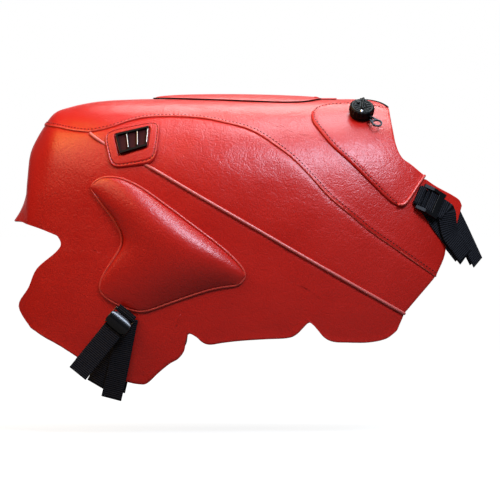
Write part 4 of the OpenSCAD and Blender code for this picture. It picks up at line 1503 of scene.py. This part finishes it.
@dataclass(frozen=True)
class Straps:
    """Webbing straps, anchor loops and the places of the ladder buckles of one side."""

    form: TankForm
    finishes: Finishes
    webbing: Webbing = Webbing()
    cloth: float = 2.4
    lap: float = 0.5
    bar: float = 2.0
    play: float = 0.15
    loop_length: float = 6.0
    loop_gap: float = 0.3
    loop_steps: int = 5
    loop_turns: int = 17
    tail_start: float = 8.5
    straight_end: float = 37.0
    straight_steps: int = 12
    window_run: tuple[tuple[float, float], ...] = ((3.4, 0.2), (8.0, -1.0), (11.5, -1.9), (14.6, -1.9))
    window_steps: int = 12
    clear: float = 1.5
    rear_tail: float = 91.0
    rear_lean: float = 39.0
    steps: int = 48
    front_at: tuple[float, float] = (90.5, 65.7)
    front_to: tuple[float, float] = (94.3, 61.5)
    rear_at: tuple[float, float] = (25.2, 24.6)
    rear_sewn_up: float = 3.0
    front_shares: Shares = ((96.6, 53), (98.5, 48.4), (100, 44.6))
    front_tail_shares: Shares = (
        (89.9, 66.3), (91.2, 64.9), (92.4, 62.2), (95, 55.8), (98, 49.6), (100.5, 44.2),
    )
    front_under_shares: Shares = ((97.8, 63), (100.3, 55.5), (102.5, 48.5), (104.3, 42.6))
    rear_middle_shares: Shares = ((26, 23.5), (24.9, 15), (23.8, 6), (22.2, -5))
    rear_under_shares: Shares = ((25.6, 23.5), (23.9, 16), (21.6, 8), (18.8, -0.3))

    @cached_property
    def web_low(self) -> float:
        """Height of the webbing's lower face over the bars."""
        return self.bar / 2 + self.play

    @cached_property
    def web_middle(self) -> float:
        """Height of the webbing's middle over the bars."""
        return self.web_low + self.webbing.thick / 2

    @cached_property
    def anchor_drop(self) -> float:
        """Depth of the anchor bar below the other bars' level."""
        return self.webbing.thick + 2 * self.play

    @cached_property
    def under_lift(self) -> float:
        """Height of the middle of a strap that lies on a panel."""
        return self.cloth + self.lap + self.webbing.thick / 2

    @cached_property
    def front_tail_lift(self) -> float:
        """Height of the middle of the strap that runs under the front buckle."""
        return self.under_lift + self.play

    @cached_property
    def front_frame(self) -> LocalFrame:
        """Place of the front buckle, clear of the strap under it."""
        rise = self.front_tail_lift + self.webbing.thick / 2 + self.lap + self.bar / 2 + self.anchor_drop
        return LocalFrame.on_skin(self.form, self.front_at, self.front_to, rise)

    @cached_property
    def middle_lift(self) -> float:
        """Height of the middle of the strap that lies on the rear under strap."""
        return self.under_lift + self.webbing.thick + self.lap

    @cached_property
    def rear_frame(self) -> LocalFrame:
        """Finds the place of the rear buckle, which hangs upright.

        Returns:
            The place.
        """
        x, z = self.form.side(self.rear_at)
        seat = self.anchor_drop + self.web_low + self.webbing.thick
        out = self.middle_lift + self.webbing.thick / 2 + self.lap + 2 * self.play + seat
        half = self.form.half_at(x, z + self.rear_sewn_up / 100 * self.form.height)
        lean = math.radians(self.rear_lean)
        way = np.array([-math.sin(lean), 0.0, -math.cos(lean)])
        return LocalFrame.towards(np.array([x, -half - out, z]), way, np.array([0.0, -1.0, 0.0]))

    def loop(self, place: LocalFrame) -> Pair:
        """Folds an anchor loop round a buckle's bar.

        Args:
            place: Place of the buckle.
        Returns:
            Its middle line and the way its face looks.
        """
        radius = self.web_middle
        turn = np.linspace(-np.pi / 2, np.pi / 2, self.loop_turns)
        nose = stacked(np.cos(turn), 0.0, np.sin(turn))
        back = np.linspace(self.loop_length, self.loop_gap, self.loop_steps)
        flat_low = stacked(-back, 0.0, -radius)
        path = np.vstack([flat_low, radius * nose, flat_low[::-1] * (1, 1, -1)])
        down = np.tile([0, 0, -1.0], (self.loop_steps, 1))
        looks = np.vstack([down, nose, -down])
        return place.place(path - (0, 0, self.anchor_drop)), looks @ place.axes

    def hanging(self, shares: Shares, lift: float, swing: float) -> Pair:
        """Hangs a strap from the hem.

        Args:
            shares: Its line, seen from the side.
            lift: Height of its middle above the form.
            swing: How far its free end swings out.
        Returns:
            Its middle line and the way its face looks.
        """
        cells = spread(self.form.side_curve(shares), self.steps)
        share = np.linspace(0, 1, self.steps + 1)[:, None]
        return self.form.lifted(cells, lift) - share**2 * (0, swing, 0), self.form.outward(cells)

    def front_strap(self) -> Pair:
        """Leads the strap out of the front buckle.

        Returns:
            Its middle line and the way its face looks.
        """
        inside = [[x, 0, self.web_middle] for x in (self.tail_start, self.straight_end)]
        start = self.front_frame.place(inside)
        ends = self.form.side(self.front_shares)
        hang = self.form.lifted(ends, self.front_tail_lift + self.webbing.thick + 2 * self.clear)
        run = spread(smooth_curve(np.vstack([start[1:], hang])), self.steps)
        share = np.concatenate([np.zeros(self.straight_steps), np.linspace(0, 1, self.steps + 1)])[:, None]
        looks = (1 - share) * self.front_frame.axes[2] + share * self.form.outward(ends[-1])
        return np.vstack([spread(start, self.straight_steps)[:-1], run]), looks

    def window(self) -> Pair:
        """Webbing in the front buckle's rear window, on its way under the middle bar."""
        path = spread(smooth_curve([(x, 0, z) for x, z in self.window_run]), self.window_steps)
        return self.front_frame.place(path), self.front_frame.axes[2]

    def rear_strap(self) -> Pair:
        """Adjuster tail that leaves the rear buckle."""
        path = [(x, 0, self.web_middle) for x in np.linspace(self.tail_start, self.rear_tail, self.steps)]
        return self.rear_frame.place(path), self.rear_frame.axes[2]

    def build(self, side: Side) -> None:
        """Makes all the straps of one side.

        Args:
            side: Side of the motorcycle.
        """
        behind = -self.clear - self.webbing.thick / 2
        rear_middle = self.hanging(self.rear_middle_shares, self.middle_lift, 2 * self.clear)
        rear_under = self.hanging(self.rear_under_shares, self.under_lift, self.clear)
        front_under = self.hanging(self.front_under_shares, behind, 0.0)
        front_tail = self.hanging(self.front_tail_shares, self.front_tail_lift, 0.0)
        # Two of them have no CAD node of their own, because another piece stands for it.
        straps = [
            ("front_anchor", "front_loop", self.loop(self.front_frame), "cover", "folded"),
            ("rear_anchor", "rear_loop", self.loop(self.rear_frame), "cover", "folded"),
            ("front_webbing", "front_strap", self.front_strap(), side.node("front_strap_body"), "hung"),
            ("front_webbing_window", "", self.window(), side.node("front_buckle_body"), "stretched"),
            ("rear_webbing", "rear_strap", self.rear_strap(), side.node("rear_strap_body"), "hung"),
            ("rear_webbing_middle", "rear_strap_middle", rear_middle, "cover", "hung"),
            ("rear_webbing_under", "rear_strap_under", rear_under, "cover", "hung"),
            ("front_webbing_under", "front_strap_under", front_under, "cover", "hung"),
            ("front_webbing_tail", "", front_tail, "cover", "hung"),
        ]
        for name, node, (points, looks), body, held in straps:
            data = self.webbing.strip(points, np.broadcast_to(looks, points.shape))
            piece = data.make(side.node(name), [self.finishes.webbing.material], side)
            settle(piece, body, [side.node(node)] if node else [])
            flat = (self.webbing.width * MM, float(run_lengths(points)[-1]) * MM)


@dataclass(frozen=True)
class Hardware:
    """Moulded and metal pieces that keep their CAD solids, with softened edges."""

    finishes: Finishes
    segments: int = 3
    sharp_angle: float = 35.0

    def build(self, side: Side) -> None:
        """Gives the CAD nodes of one side their materials and rounded edges.

        Args:
            side: Side of the motorcycle.
        """
        plastic = self.finishes.plastic
        # Name of each node, its finish, and the radius of its edges in millimetres.
        pieces = [
            ("front_buckle", plastic, 0.6),
            ("vent_frame", plastic, 0.3),
            # The mesh behind the vent cells carries painted shade and a painted reflection.
            ("vent_grille", self.finishes.grille, 0.1),
            ("clip_base", plastic, 0.4),
            ("clip_body", plastic, 0.5),
            ("clip_button", plastic, 0.4),
            ("clip_ring", self.finishes.dark_steel, 0.6),
        ]
        for name, finish, edge in pieces:
            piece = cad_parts[side.node(name)]
            piece.data.materials.clear()
            piece.data.materials.append(finish.material)
            bevel = piece.modifiers.new("Soft edges", "BEVEL")
            bevel.width = edge * MM
            bevel.segments = self.segments
            bevel.limit_method = "ANGLE"
            bevel.angle_limit = math.radians(self.sharp_angle)
            bevel.harden_normals = True
            log.info("%s: CAD solid with %s", side.node(name), finish.material.name)


@dataclass(frozen=True)
class RearBand:
    """The rear ladder buckle: slim rails and bars under a glossy arched band."""

    place: LocalFrame
    anchor_drop: float
    finishes: Finishes
    half_width: float = 14.5
    rail: float = 0.9
    bar: float = 1.0
    bar_at: float = 11.5
    bar_steps: int = 8
    rail_z: float = 0.6
    band_z: float = 3.7
    band_from: float = 3.0
    band_to: float = 22.0
    band_thick: float = 1.8
    arch: float = 4.0
    corner_power: float = 6.0
    corner_cut: float = 0.25
    cols: int = 28
    rows: int = 28

    def band(self) -> MeshData:
        """Arches the band, with rounded corners.

        Returns:
            The mesh.
        """
        a = np.linspace(-1, 1, self.cols + 1)[None]
        b = np.linspace(-1, 1, self.rows + 1)[:, None]
        squeeze = 1 - self.corner_cut * np.abs(a) ** self.corner_power * np.abs(b) ** self.corner_power
        middle = (self.band_from + self.band_to) / 2
        half = (self.band_to - self.band_from) / 2
        x = middle + half * a * squeeze
        y = -self.half_width * b * squeeze
        z = self.band_z + self.arch * (1 - a**2)
        outer = stacked(x, y, z + self.band_thick / 2)
        inner = stacked(x, y, z - self.band_thick / 2)
        data = closed_sheet(self.place.place(outer), self.place.place(inner), self.band_thick / 2)
        data.slots = [0] * len(data.slots)
        return data

    def build(self, side: Side) -> None:
        """Makes the band, rails and bars as one moulding.

        Args:
            side: Side of the motorcycle.
        """
        data = self.band()
        edge = self.half_width - self.rail
        end = self.band_to - self.bar
        run = [(-self.bar, -self.anchor_drop), (self.bar_at, self.rail_z), (end, self.band_z)]
        for y in (-edge, edge):
            path = smooth_curve([(x, y, z) for x, z in run])
            data.join(self.place.cord(path, self.rail))
        for x, z in ((0.0, -self.anchor_drop), (self.bar_at, 0.0)):
            path = straight((x, -edge, z), (x, edge, z), self.bar_steps)
            data.join(self.place.cord(path, self.bar))
        band = data.make(side.node("rear_band"), [self.finishes.glossy_plastic.material], side)
        settle(band, side.node("rear_buckle_body"), [side.node("rear_buckle")])


def direction(degrees: float) -> Points:
    """Unit vector in the XY plane at an angle from +X."""
    return np.array([math.cos(math.radians(degrees)), math.sin(math.radians(degrees)), 0.0])


@dataclass(frozen=True)
class ClipDetail:
    """Thumb lever, grip ribs, spokes and rivet on the round clip, which turn with its body."""

    form: TankForm
    finishes: Finishes
    at: tuple[float, float] = (77.5, 93.6)
    to: tuple[float, float] = (81.7, 87.2)
    rise: float = 9.4
    radius: float = 14.5
    height: float = 11.0
    thin_sides: int = 10
    ribs: int = 20
    rib_radius: float = 1.1
    rib_sink: float = 0.3
    rib_inset: float = 2.2
    lug_turn: float = 24.0
    lever_radius: float = 1.7
    lever_bow: tuple[tuple[float, float], ...] = ((6.0, 0.3), (0.0, 0.8), (-8.0, 0.9), (-13.6, 0.4))
    crest_radius: float = 10.6
    crest_wire: float = 0.7
    crest_points: int = 48
    spokes: int = 14
    spoke_from: float = 4.0
    spoke_middle: float = 8.0
    spoke_radius: float = 0.8
    button_turn: float = 180.0
    button_clear: float = 32.0
    rivet_at: float = 11.2
    rivet_radius: float = 2.3
    rivet_sink: float = 0.2
    rivet_dome: float = 0.8
    rivet_lean: float = 80.0
    rivet_rings: int = 6
    rivet_points: int = 20

    @cached_property
    def place(self) -> LocalFrame:
        """Place of the clip body's lower face."""
        return LocalFrame.on_skin(self.form, self.at, self.to, self.rise)

    @cached_property
    def front(self) -> Points:
        """Direction on the clip's top that looks out from the side, in its own frame."""
        return unit((self.place.axes @ np.array([0.0, -1.0, 0.0])) * (1, 1, 0))

    def cords(self) -> Iterable[MeshData]:
        """Lays upright ribs round the body, not beside the lug, and lever, spokes and ring on its top.

        Returns:
            One mesh per cord.
        """
        heights = (self.rib_inset, self.height / 2, self.height - self.rib_inset)
        levels = np.array([(0, 0, z) for z in heights])
        for turn in np.linspace(0, 360, self.ribs, endpoint=False) + 180 / self.ribs:
            if min(turn, 360 - turn) >= self.lug_turn:
                way = direction(turn)
                path = way * (self.radius - self.rib_sink) + levels
                yield self.place.cord(path, self.rib_radius, self.thin_sides, up=way)
        top = np.array([0.0, 0.0, self.height])
        bow = [top + self.front * reach + (0, 0, up) for reach, up in self.lever_bow]
        yield self.place.cord(smooth_curve(bow), self.lever_radius)
        for turn in np.linspace(0, 360, self.spokes, endpoint=False):
            if abs(turn - self.button_turn) >= self.button_clear:
                reaches = (self.spoke_from, self.spoke_middle, self.crest_radius)
                path = top + np.array([direction(turn) * reach for reach in reaches])
                yield self.place.cord(path, self.spoke_radius, self.thin_sides)
        turns = np.linspace(0, 360, self.crest_points, endpoint=False)
        ring = np.array([direction(turn) for turn in turns]) * self.crest_radius + top
        yield self.place.cord(ring, self.crest_wire, self.thin_sides, wrap=True)

    def rivet(self) -> MeshData:
        """Domes a rivet head near the front of the clip's top.

        Returns:
            The mesh.
        """
        turn = np.linspace(0, 2 * np.pi, self.rivet_points, endpoint=False)
        circle = stacked(np.cos(turn), np.sin(turn), 0.0)
        rings = []
        for lean in np.radians(np.linspace(0, self.rivet_lean, self.rivet_rings)):
            z = self.height - self.rivet_sink + self.rivet_dome * self.rivet_radius * math.sin(lean)
            ring = circle * self.rivet_radius * math.cos(lean) + (0, 0, z)
            rings.append(self.place.place(ring + self.front * self.rivet_at))
        data = MeshData()
        data.add(np.vstack(rings), grid_faces(len(rings), len(turn), wrap=True))
        data.add(rings[-1], [tuple(range(len(turn)))])
        data.add(rings[0], [tuple(reversed(range(len(turn))))])
        return data

    def build(self, side: Side) -> None:
        """Makes the details of one side's clip.

        Args:
            side: Side of the motorcycle.
        """
        body = side.node("clip_body_body")
        grip = MeshData()
        for cord in self.cords():
            grip.join(cord)
        piece = grip.make(side.node("clip_grip"), [self.finishes.plastic.material], side)
        settle(piece, body)
        rivet = self.rivet().make(side.node("clip_rivet"), [self.finishes.steel.material], side)
        settle(rivet, body)


@dataclass(frozen=True)
class Vent:
    """The stitched patch round the vent, and the bright wires on its frame."""

    form: TankForm
    finishes: Finishes
    cloth: float = 2.4
    low: float = 2.6
    puff: float = 1.25
    loop_points: int = 120
    rows: int = 36
    roll_share: float = 0.12
    groove_share: float = 0.24
    groove_reach: float = 0.05
    groove: float = 0.8
    frame_low: float = 2.9
    frame_high: float = 4.4
    trim_radius: float = 0.5
    trim_reach: float = 0.8
    trim_steps: int = 6
    trim_sides: int = 10
    trims: tuple[float, ...] = (-0.31, 0.31, 0.93)
    patch_power: float = 5.0
    window_power: float = 16.0
    patch_shares: Shares = ((20.2, 88.2), (33.2, 92.2), (32, 77.6), (22, 75.6))
    window_shares: Shares = ((22.8, 87.4), (30.7, 90), (30.2, 83), (24, 80))

    def loop(self, shares: Shares, power: float) -> Points:
        """Rounded outline through four corners, seen from the side.

        Args:
            shares: The corners: top rear, top front, low front, low rear.
            power: Squareness of the corners.
        Returns:
            Places on the outline, round once.
        """
        turn = -np.linspace(0, 2 * np.pi, self.loop_points, endpoint=False)
        c = np.cos(turn)
        s = np.sin(turn)
        scale = (np.abs(c) ** power + np.abs(s) ** power) ** (-1 / power)
        a = (scale * c)[:, None]
        b = (scale * s)[:, None]
        q = self.form.side(shares)
        upper = ((1 - a) * q[0] + (1 + a) * q[1]) / 2
        lower = ((1 - a) * q[3] + (1 + a) * q[2]) / 2
        return ((1 + b) * upper + (1 - b) * lower) / 2

    @cached_property
    def cells(self) -> Points:
        """Lays loops of places from the patch's edge to the window.

        Returns:
            Places seen from the side, by loop and point.
        """
        edge = self.loop(self.patch_shares, self.patch_power)
        window = self.loop(self.window_shares, self.window_power)
        share = np.linspace(0, 1, self.rows + 1)[:, None, None]
        return (1 - share) * edge + share * window

    @cached_property
    def outer(self) -> Points:
        """Rolls the patch's edges and sinks its sewn groove.

        Returns:
            Points of its outer layer, by loop and point.
        """
        row = np.linspace(0, 1, self.rows + 1)
        near = np.clip(np.minimum(row, 1 - row) / self.roll_share, 0, 1)
        sewn = np.exp(-(((row - self.groove_share) / self.groove_reach) ** 2))
        height = self.cloth * (self.puff - (1 - near) ** 2) - self.groove * sewn
        return self.form.lifted(self.cells, self.low + np.broadcast_to(height[:, None], self.cells.shape[:2]))

    def patch(self) -> MeshData:
        """Closes the patch, a ring of cloth.

        Returns:
            The mesh.
        """
        inner = self.form.lifted(self.cells, np.full(self.cells.shape[:2], self.low))
        around = self.loop_points
        count = (self.rows + 1) * around
        last = self.rows * around
        faces = grid_faces(self.rows + 1, around, wrap=True)
        faces += grid_faces(self.rows + 1, around, start=count, flip=True, wrap=True)
        for i in range(around):
            j = (i + 1) % around
            faces.append((j, i, count + i, count + j))
            faces.append((last + i, last + j, count + last + j, count + last + i))
        data = MeshData()
        data.add(np.vstack([self.outer.reshape(-1, 3), inner.reshape(-1, 3)]), faces)
        return data

    def trim(self) -> MeshData:
        """Lays thin plated wires on the frame's bars and its front edge.

        Returns:
            The mesh.
        """
        middle = np.mean(self.window_shares, axis=0)
        ahead = np.mean(self.window_shares[1:3], axis=0)
        place = LocalFrame.on_skin(self.form, middle, ahead, self.frame_low)
        window = self.form.lifted(self.form.side(self.window_shares), self.frame_low) - place.origin
        q = (window @ place.axes.T)[:, :2]
        data = MeshData()
        for a in self.trims:
            high = ((1 - a) * q[0] + (1 + a) * q[1]) / 2
            low = ((1 - a) * q[3] + (1 + a) * q[2]) / 2
            ends = [high + (low - high) * share for share in (1 - self.trim_reach, self.trim_reach)]
            path = spread(np.array([(*end, self.frame_high) for end in ends]), self.trim_steps)
            data.join(place.cord(path, self.trim_radius, self.trim_sides))
        return data

    def build(self, side: Side) -> None:
        """Makes the patch, its stitches and the wires of one side.

        Args:
            side: Side of the motorcycle.
        """
        patch = self.patch().make(side.node("vent_cloth"), [self.finishes.cloth.material], side)
        settle(patch, "cover", [side.node("vent_patch")])
        closed = np.concatenate([self.outer, self.outer[:, :1]], axis=1)
        declare_sheet(closed, [side.node("shoulder_panel")])
        line = self.cells[0] * (1 - self.groove_share) + self.cells[-1] * self.groove_share
        line = np.vstack([line, line[:1]])
        level = self.low + self.puff * self.cloth - self.groove
        sewn = MeshData()
        Stitching().sew(sewn, self.form.lifted(line, level), self.form.outward(line))
        thread = sewn.make(side.node("vent_stitches"), [self.finishes.thread.material], side)
        settle(thread, "cover")
        wires = self.trim().make(side.node("vent_trims"), [self.finishes.steel.material], side)
        settle(wires, "cover")


@dataclass(frozen=True)
class Flap:
    """The padded filler flap on the crown, its binding and hinge tape, and the bound front edge."""

    form: TankForm
    finishes: Finishes
    length: float = 200.0
    width: float = 106.0
    low: float = 2.9
    edge: float = 1.4
    rim: float = 0.8
    dome: float = 4.4
    dome_skew: float = 0.8
    dome_power: float = 0.6
    binding: float = 1.5
    binding_radius: float = 0.8
    front_radius: float = 1.5
    front_rise: float = 1.6
    front_steps: int = 40
    lap: float = 0.5
    hinge_length: float = 20.0
    hinge_width: float = 48.0
    hinge_thick: float = 0.9
    hinge_rim: float = 0.5
    hinge_lap: float = 6.0
    hinge_over: float = 0.4
    hinge_ramp: tuple[float, float] = (2.0, -4.0)
    hinge_bend: float = 3.0
    hinge_cols: int = 24
    hinge_rows: int = 12
    cols: int = 72
    rows: int = 36
    outline_shares: Shares = (
        (0, 0.12), (0.12, 0.38), (0.35, 0.72), (0.6, 0.93), (0.8, 1), (0.93, 0.86), (1, 0.5),
    )

    def half(self, share: Points) -> Points:
        """Half width of the flap at shares of its length."""
        line = smooth_curve(self.outline_shares)
        return np.interp(share, line[:, 0], line[:, 1]) * self.width / 2

    def on_top(self, x: Points, y: Points, rise: Any) -> Points:
        """Points above the crown, from places seen from above."""
        return stacked(x, y, self.form.top_at(x, y) + rise)

    def bound(self, name: str, node: str, body: str, points: Points, radius: float) -> None:
        """Makes a black binding along points, which stands for a CAD node and rides on a body."""
        cord = tube(points, np.tile([0.0, 0.0, 1.0], (len(points), 1)), radius)
        settle(cord.make(name, [self.finishes.binding.material]), body, [node])

    def flap(self) -> None:
        """Makes the flap, which is padded in the middle."""
        share = np.linspace(0, 1, self.cols + 1)[None]
        across = np.linspace(1, -1, self.rows + 1)[:, None]
        x = (share - 0.5) * self.length
        y = across * self.half(share)
        swell = np.clip(np.sin(np.pi * share**self.dome_skew), 0, 1) ** self.dome_power
        outer = self.on_top(x, y, self.low + self.edge + self.dome * ((1 - across**2) * swell))
        data = closed_sheet(outer, self.on_top(x, y, self.low), self.rim)
        flap = data.make("flap_cloth", self.finishes.lined)
        settle(flap, "flap", ["filler_flap"])
        declare_sheet(outer, ["right_shoulder_panel", "left_shoulder_panel"])

    def edge_binding(self) -> None:
        """Binds the flap's edge."""
        share = np.linspace(0, 1, self.cols + 1)
        edge = stacked((share - 0.5) * self.length, self.half(share))
        loop = np.vstack([edge[::-1], edge * (1, -1)])
        heading = unit(np.gradient(loop, axis=0))
        path = loop + (self.binding + self.lap / 2) * stacked(heading[:, 1], -heading[:, 0])
        points = self.on_top(path[:, 0], path[:, 1], self.low + self.binding_radius - self.lap / 2)
        self.bound("flap_edge", "flap_binding", "flap", points, self.binding_radius)

    def hinge(self) -> None:
        """Makes the hinge tape at the front of the flap."""
        front = self.length / 2
        reach = np.linspace(-self.hinge_lap, self.lap + self.hinge_length, self.hinge_cols + 1)[None]
        x = front + reach
        y = np.linspace(1, -1, self.hinge_rows + 1)[:, None] * self.hinge_width / 2
        foot, head = self.hinge_ramp
        over = np.clip((reach - foot) / (head - foot), 0, 1)
        rise = self.low + (self.edge + self.hinge_over) * over * over * (3 - 2 * over)
        outer = self.on_top(x, y, rise + self.hinge_thick)
        data = closed_sheet(outer, self.on_top(x, y, rise), self.hinge_rim)
        tape = data.make("hinge_tape", self.finishes.lined)
        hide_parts("flap_hinge")
        declare_sheet(outer, ["filler_flap"])
        top = (float(self.form.crown_z(front)) + self.low) * MM
        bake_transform(tape)
        log.info("%s: bends between cover and flap", tape.name)

    def front_binding(self) -> None:
        """Binds the cover's front edge, at the steering head."""
        half = spread(smooth_curve(self.form.notch_plan), self.front_steps)
        edge = np.vstack([half[::-1] * (1, -1), half[1:]])
        ahead = self.binding + self.lap / 2
        height = self.form.top_at(edge[:, 0], edge[:, 1]) + self.front_rise
        points = stacked(edge[:, 0] + ahead, edge[:, 1], height)
        self.bound("front_edge", "front_binding", "cover", points, self.front_radius)

    def build(self) -> None:
        """Makes the flap, its binding, the hinge tape and the front edge."""
        self.flap()
        self.edge_binding()
        self.hinge()
        self.front_binding()


@dataclass(frozen=True)
class SoftBox:
    """A soft box: where it stands and how large it is, in metres, its power in watts and its colour."""

    name: str
    place: tuple[float, float, float]
    size: tuple[float, float]
    watts: float
    colour: str


@dataclass(frozen=True)
class Studio:
    """Pale floor, soft lights and the camera, in metres."""

    lamps: tuple[SoftBox, ...] = (
        SoftBox("Cool top soft box", (0.25, -0.1, 1.95), (1.0, 0.6), 20.0, "#d4f2ff"),
        SoftBox("Cool front soft box", (0.87, -1.5, 1.85), (0.9, 0.6), 56.0, "#d8e7ff"),
        SoftBox("Small front soft box", (0.75, 0.2, 1.75), (0.5, 0.5), 8.0, "#ffffff"),
        SoftBox("Back soft box", (0.3, 1.3, 1.96), (1.2, 0.6), 19.0, "#ffffff"),
        SoftBox("Warm rear soft box", (-1.5, -1.1, 1.6), (1.6, 1.6), 25.0, "#ffd0ac"),
        SoftBox("Amber rear soft box", (-1.0, -0.25, 1.45), (0.8, 0.8), 9.5, "#ffca55"),
    )
    middle: tuple[float, float, float] = (0.0, 0.0, 0.17)
    floor_z: float = -0.06
    floor_size: float = 30.0
    ambient: float = 0.06
    floor_glow: float = 0.91
    floor_lit: float = 1.5
    floor_back: tuple[float, float] = (8.0, 14.0)
    world_back: tuple[float, float] = (0.95, 0.99)
    camera_away: float = 8.0
    camera_raise: float = 1.0
    aim: tuple[float, float, float] = (0.0156, -0.13, 0.1608)
    field: float = 0.6
    sensor_mm: float = 36.0
    clip_end: float = 100.0
    floor_colour: str = "#5c5c5c"
    floor_roughness: float = 0.9

    def build(self) -> None:
        """Builds the whole studio."""
        self.floor()
        self.world()
        for lamp in self.lamps:
            self.light(lamp)
        self.camera()
        bpy.context.scene.view_settings.view_transform = "Standard"

    def seen(self, tree: Tree, place: Socket, near: float, far: float) -> Socket:
        """Tells where the white background shows.

        Args:
            tree: The node tree.
            place: Place or direction of the background's point.
            near: How far back, along +Y, the backdrop begins to show in mirrors and glass.
            far: How far back it shows in full.
        Returns:
            Output that is 1 for the camera, and for mirrors and glass where the backdrop stands, and else 0.
        """
        path = add_node(tree, "LightPath")
        rays = {0: path.outputs["Is Glossy Ray"], 1: path.outputs["Is Transmission Ray"]}
        mirrored = add_node(tree, "Math", rays, operation="MAXIMUM")
        back = add_node(tree, "SeparateXYZ", {"Vector": place}).outputs["Y"]
        behind = add_node(tree, "MapRange", {"Value": back, "From Min": near, "From Max": far})
        both = {0: mirrored.outputs[0], 1: behind.outputs["Result"]}
        shown = add_node(tree, "Math", both, operation="MULTIPLY")
        return add_node(
            tree, "Math", {0: path.outputs["Is Camera Ray"], 1: shown.outputs[0]}, operation="MAXIMUM"
        ).outputs[0]

    def floor(self) -> None:
        """Makes a wide pale floor that keeps the shadow and reads as white to the camera."""
        half = self.floor_size / 2
        mesh = bpy.data.meshes.new("floor")
        square = [(-half, -half, 0), (half, -half, 0), (half, half, 0), (-half, half, 0)]
        mesh.from_pydata(square, [], [(0, 1, 2, 3)])
        plane = bpy.data.objects.new("floor", mesh)
        plane.location.z = self.floor_z
        bpy.context.scene.collection.objects.link(plane)
        # A matt, rolled-on paint: the eye sees only a soft shadow that fades to white.
        material, tree, shader = new_material("Pale painted floor")
        place = add_node(tree, "TexCoord").outputs["Object"]
        away = add_node(tree, "VectorMath", {0: place}, operation="LENGTH").outputs["Value"]
        level = add_node(tree, "MapRange", {
            "Value": away, "From Max": self.floor_lit, "To Min": self.floor_glow, "To Max": 1.0,
        })
        glow = add_node(tree, "Math", {
            0: self.seen(tree, place, *self.floor_back), 1: level.outputs["Result"],
        }, operation="MULTIPLY")
        connect(tree, shader, {
            "Base Color": linear(self.floor_colour),
            "Roughness": self.floor_roughness,
            "Specular IOR Level": 0.0,
            "Emission Color": (1, 1, 1, 1),
            "Emission Strength": glow.outputs[0],
        })
        mesh.materials.append(material)
        plane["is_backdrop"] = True

    def world(self) -> None:
        """Makes a white background for the camera, with softer light for the object."""
        world = bpy.data.worlds.new("Studio")
        bpy.context.scene.world = world
        world.use_nodes = True
        tree = world.node_tree
        way = add_node(tree, "TexCoord").outputs["Generated"]
        strength = add_node(tree, "MapRange", {
            "Value": self.seen(tree, way, *self.world_back), "To Min": self.ambient, "To Max": 1.0,
        })
        lit = {"Color": (1, 1, 1, 1), "Strength": strength.outputs["Result"]}
        connect(tree, tree.nodes["Background"], lit)

    def light(self, lamp: SoftBox) -> None:
        """Adds a soft box that faces the object.

        Args:
            lamp: The soft box.
        """
        light = bpy.data.lights.new(lamp.name, "AREA")
        light.shape = "RECTANGLE"
        light.size, light.size_y = lamp.size
        light.energy = lamp.watts
        light.color = linear(lamp.colour)[:3]
        stand = bpy.data.objects.new(lamp.name, light)
        stand.location = lamp.place
        stand.rotation_euler = (Vector(self.middle) - stand.location).to_track_quat("-Z", "Y").to_euler()
        bpy.context.scene.collection.objects.link(stand)

    def camera(self) -> None:
        """Sets up a long-lens camera at the photo's angle."""
        data = bpy.data.cameras.new("Camera")
        data.sensor_width = self.sensor_mm
        data.lens = self.sensor_mm * self.camera_away / self.field
        data.clip_end = self.clip_end
        raise_angle = math.radians(self.camera_raise)
        way = Vector((0, -math.cos(raise_angle), math.sin(raise_angle)))
        camera = bpy.data.objects.new("Camera", data)
        camera.location = Vector(self.aim) + way * self.camera_away
        camera.rotation_euler = (-way).to_track_quat("-Z", "Y").to_euler()
        bpy.context.scene.collection.objects.link(camera)
        bpy.context.scene.camera = camera


def corners(box: tuple[Vector, Vector]) -> list[list[float]]:
    """Lowest and highest corner of a box as plain lists."""
    return [[float(c) for c in corner] for corner in box]


def main() -> None:
    """Builds every piece and the studio."""
    logging.basicConfig(level=logging.INFO, format="%(name)s: %(message)s")
    cad_box = corners(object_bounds())
    form = TankForm()
    finishes = Finishes()
    seams = Seams(form)
    panels = Panels(form, seams, finishes)
    straps = Straps(form, finishes)
    parts = [
        panels,
        Piping(form, seams, panels, finishes),
        KneePad(form, finishes),
        Vent(form, finishes),
        straps,
        Hardware(finishes),
        RearBand(straps.rear_frame, straps.anchor_drop, finishes),
        ClipDetail(form, finishes),
    ]
    for side in Side:
        for part in parts:
            part.build(side)
    Flap(form, finishes).build()
    Studio().build()
    {"cad": cad_box, "visual": corners(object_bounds())}


if __name__ == "__main__":
    main()
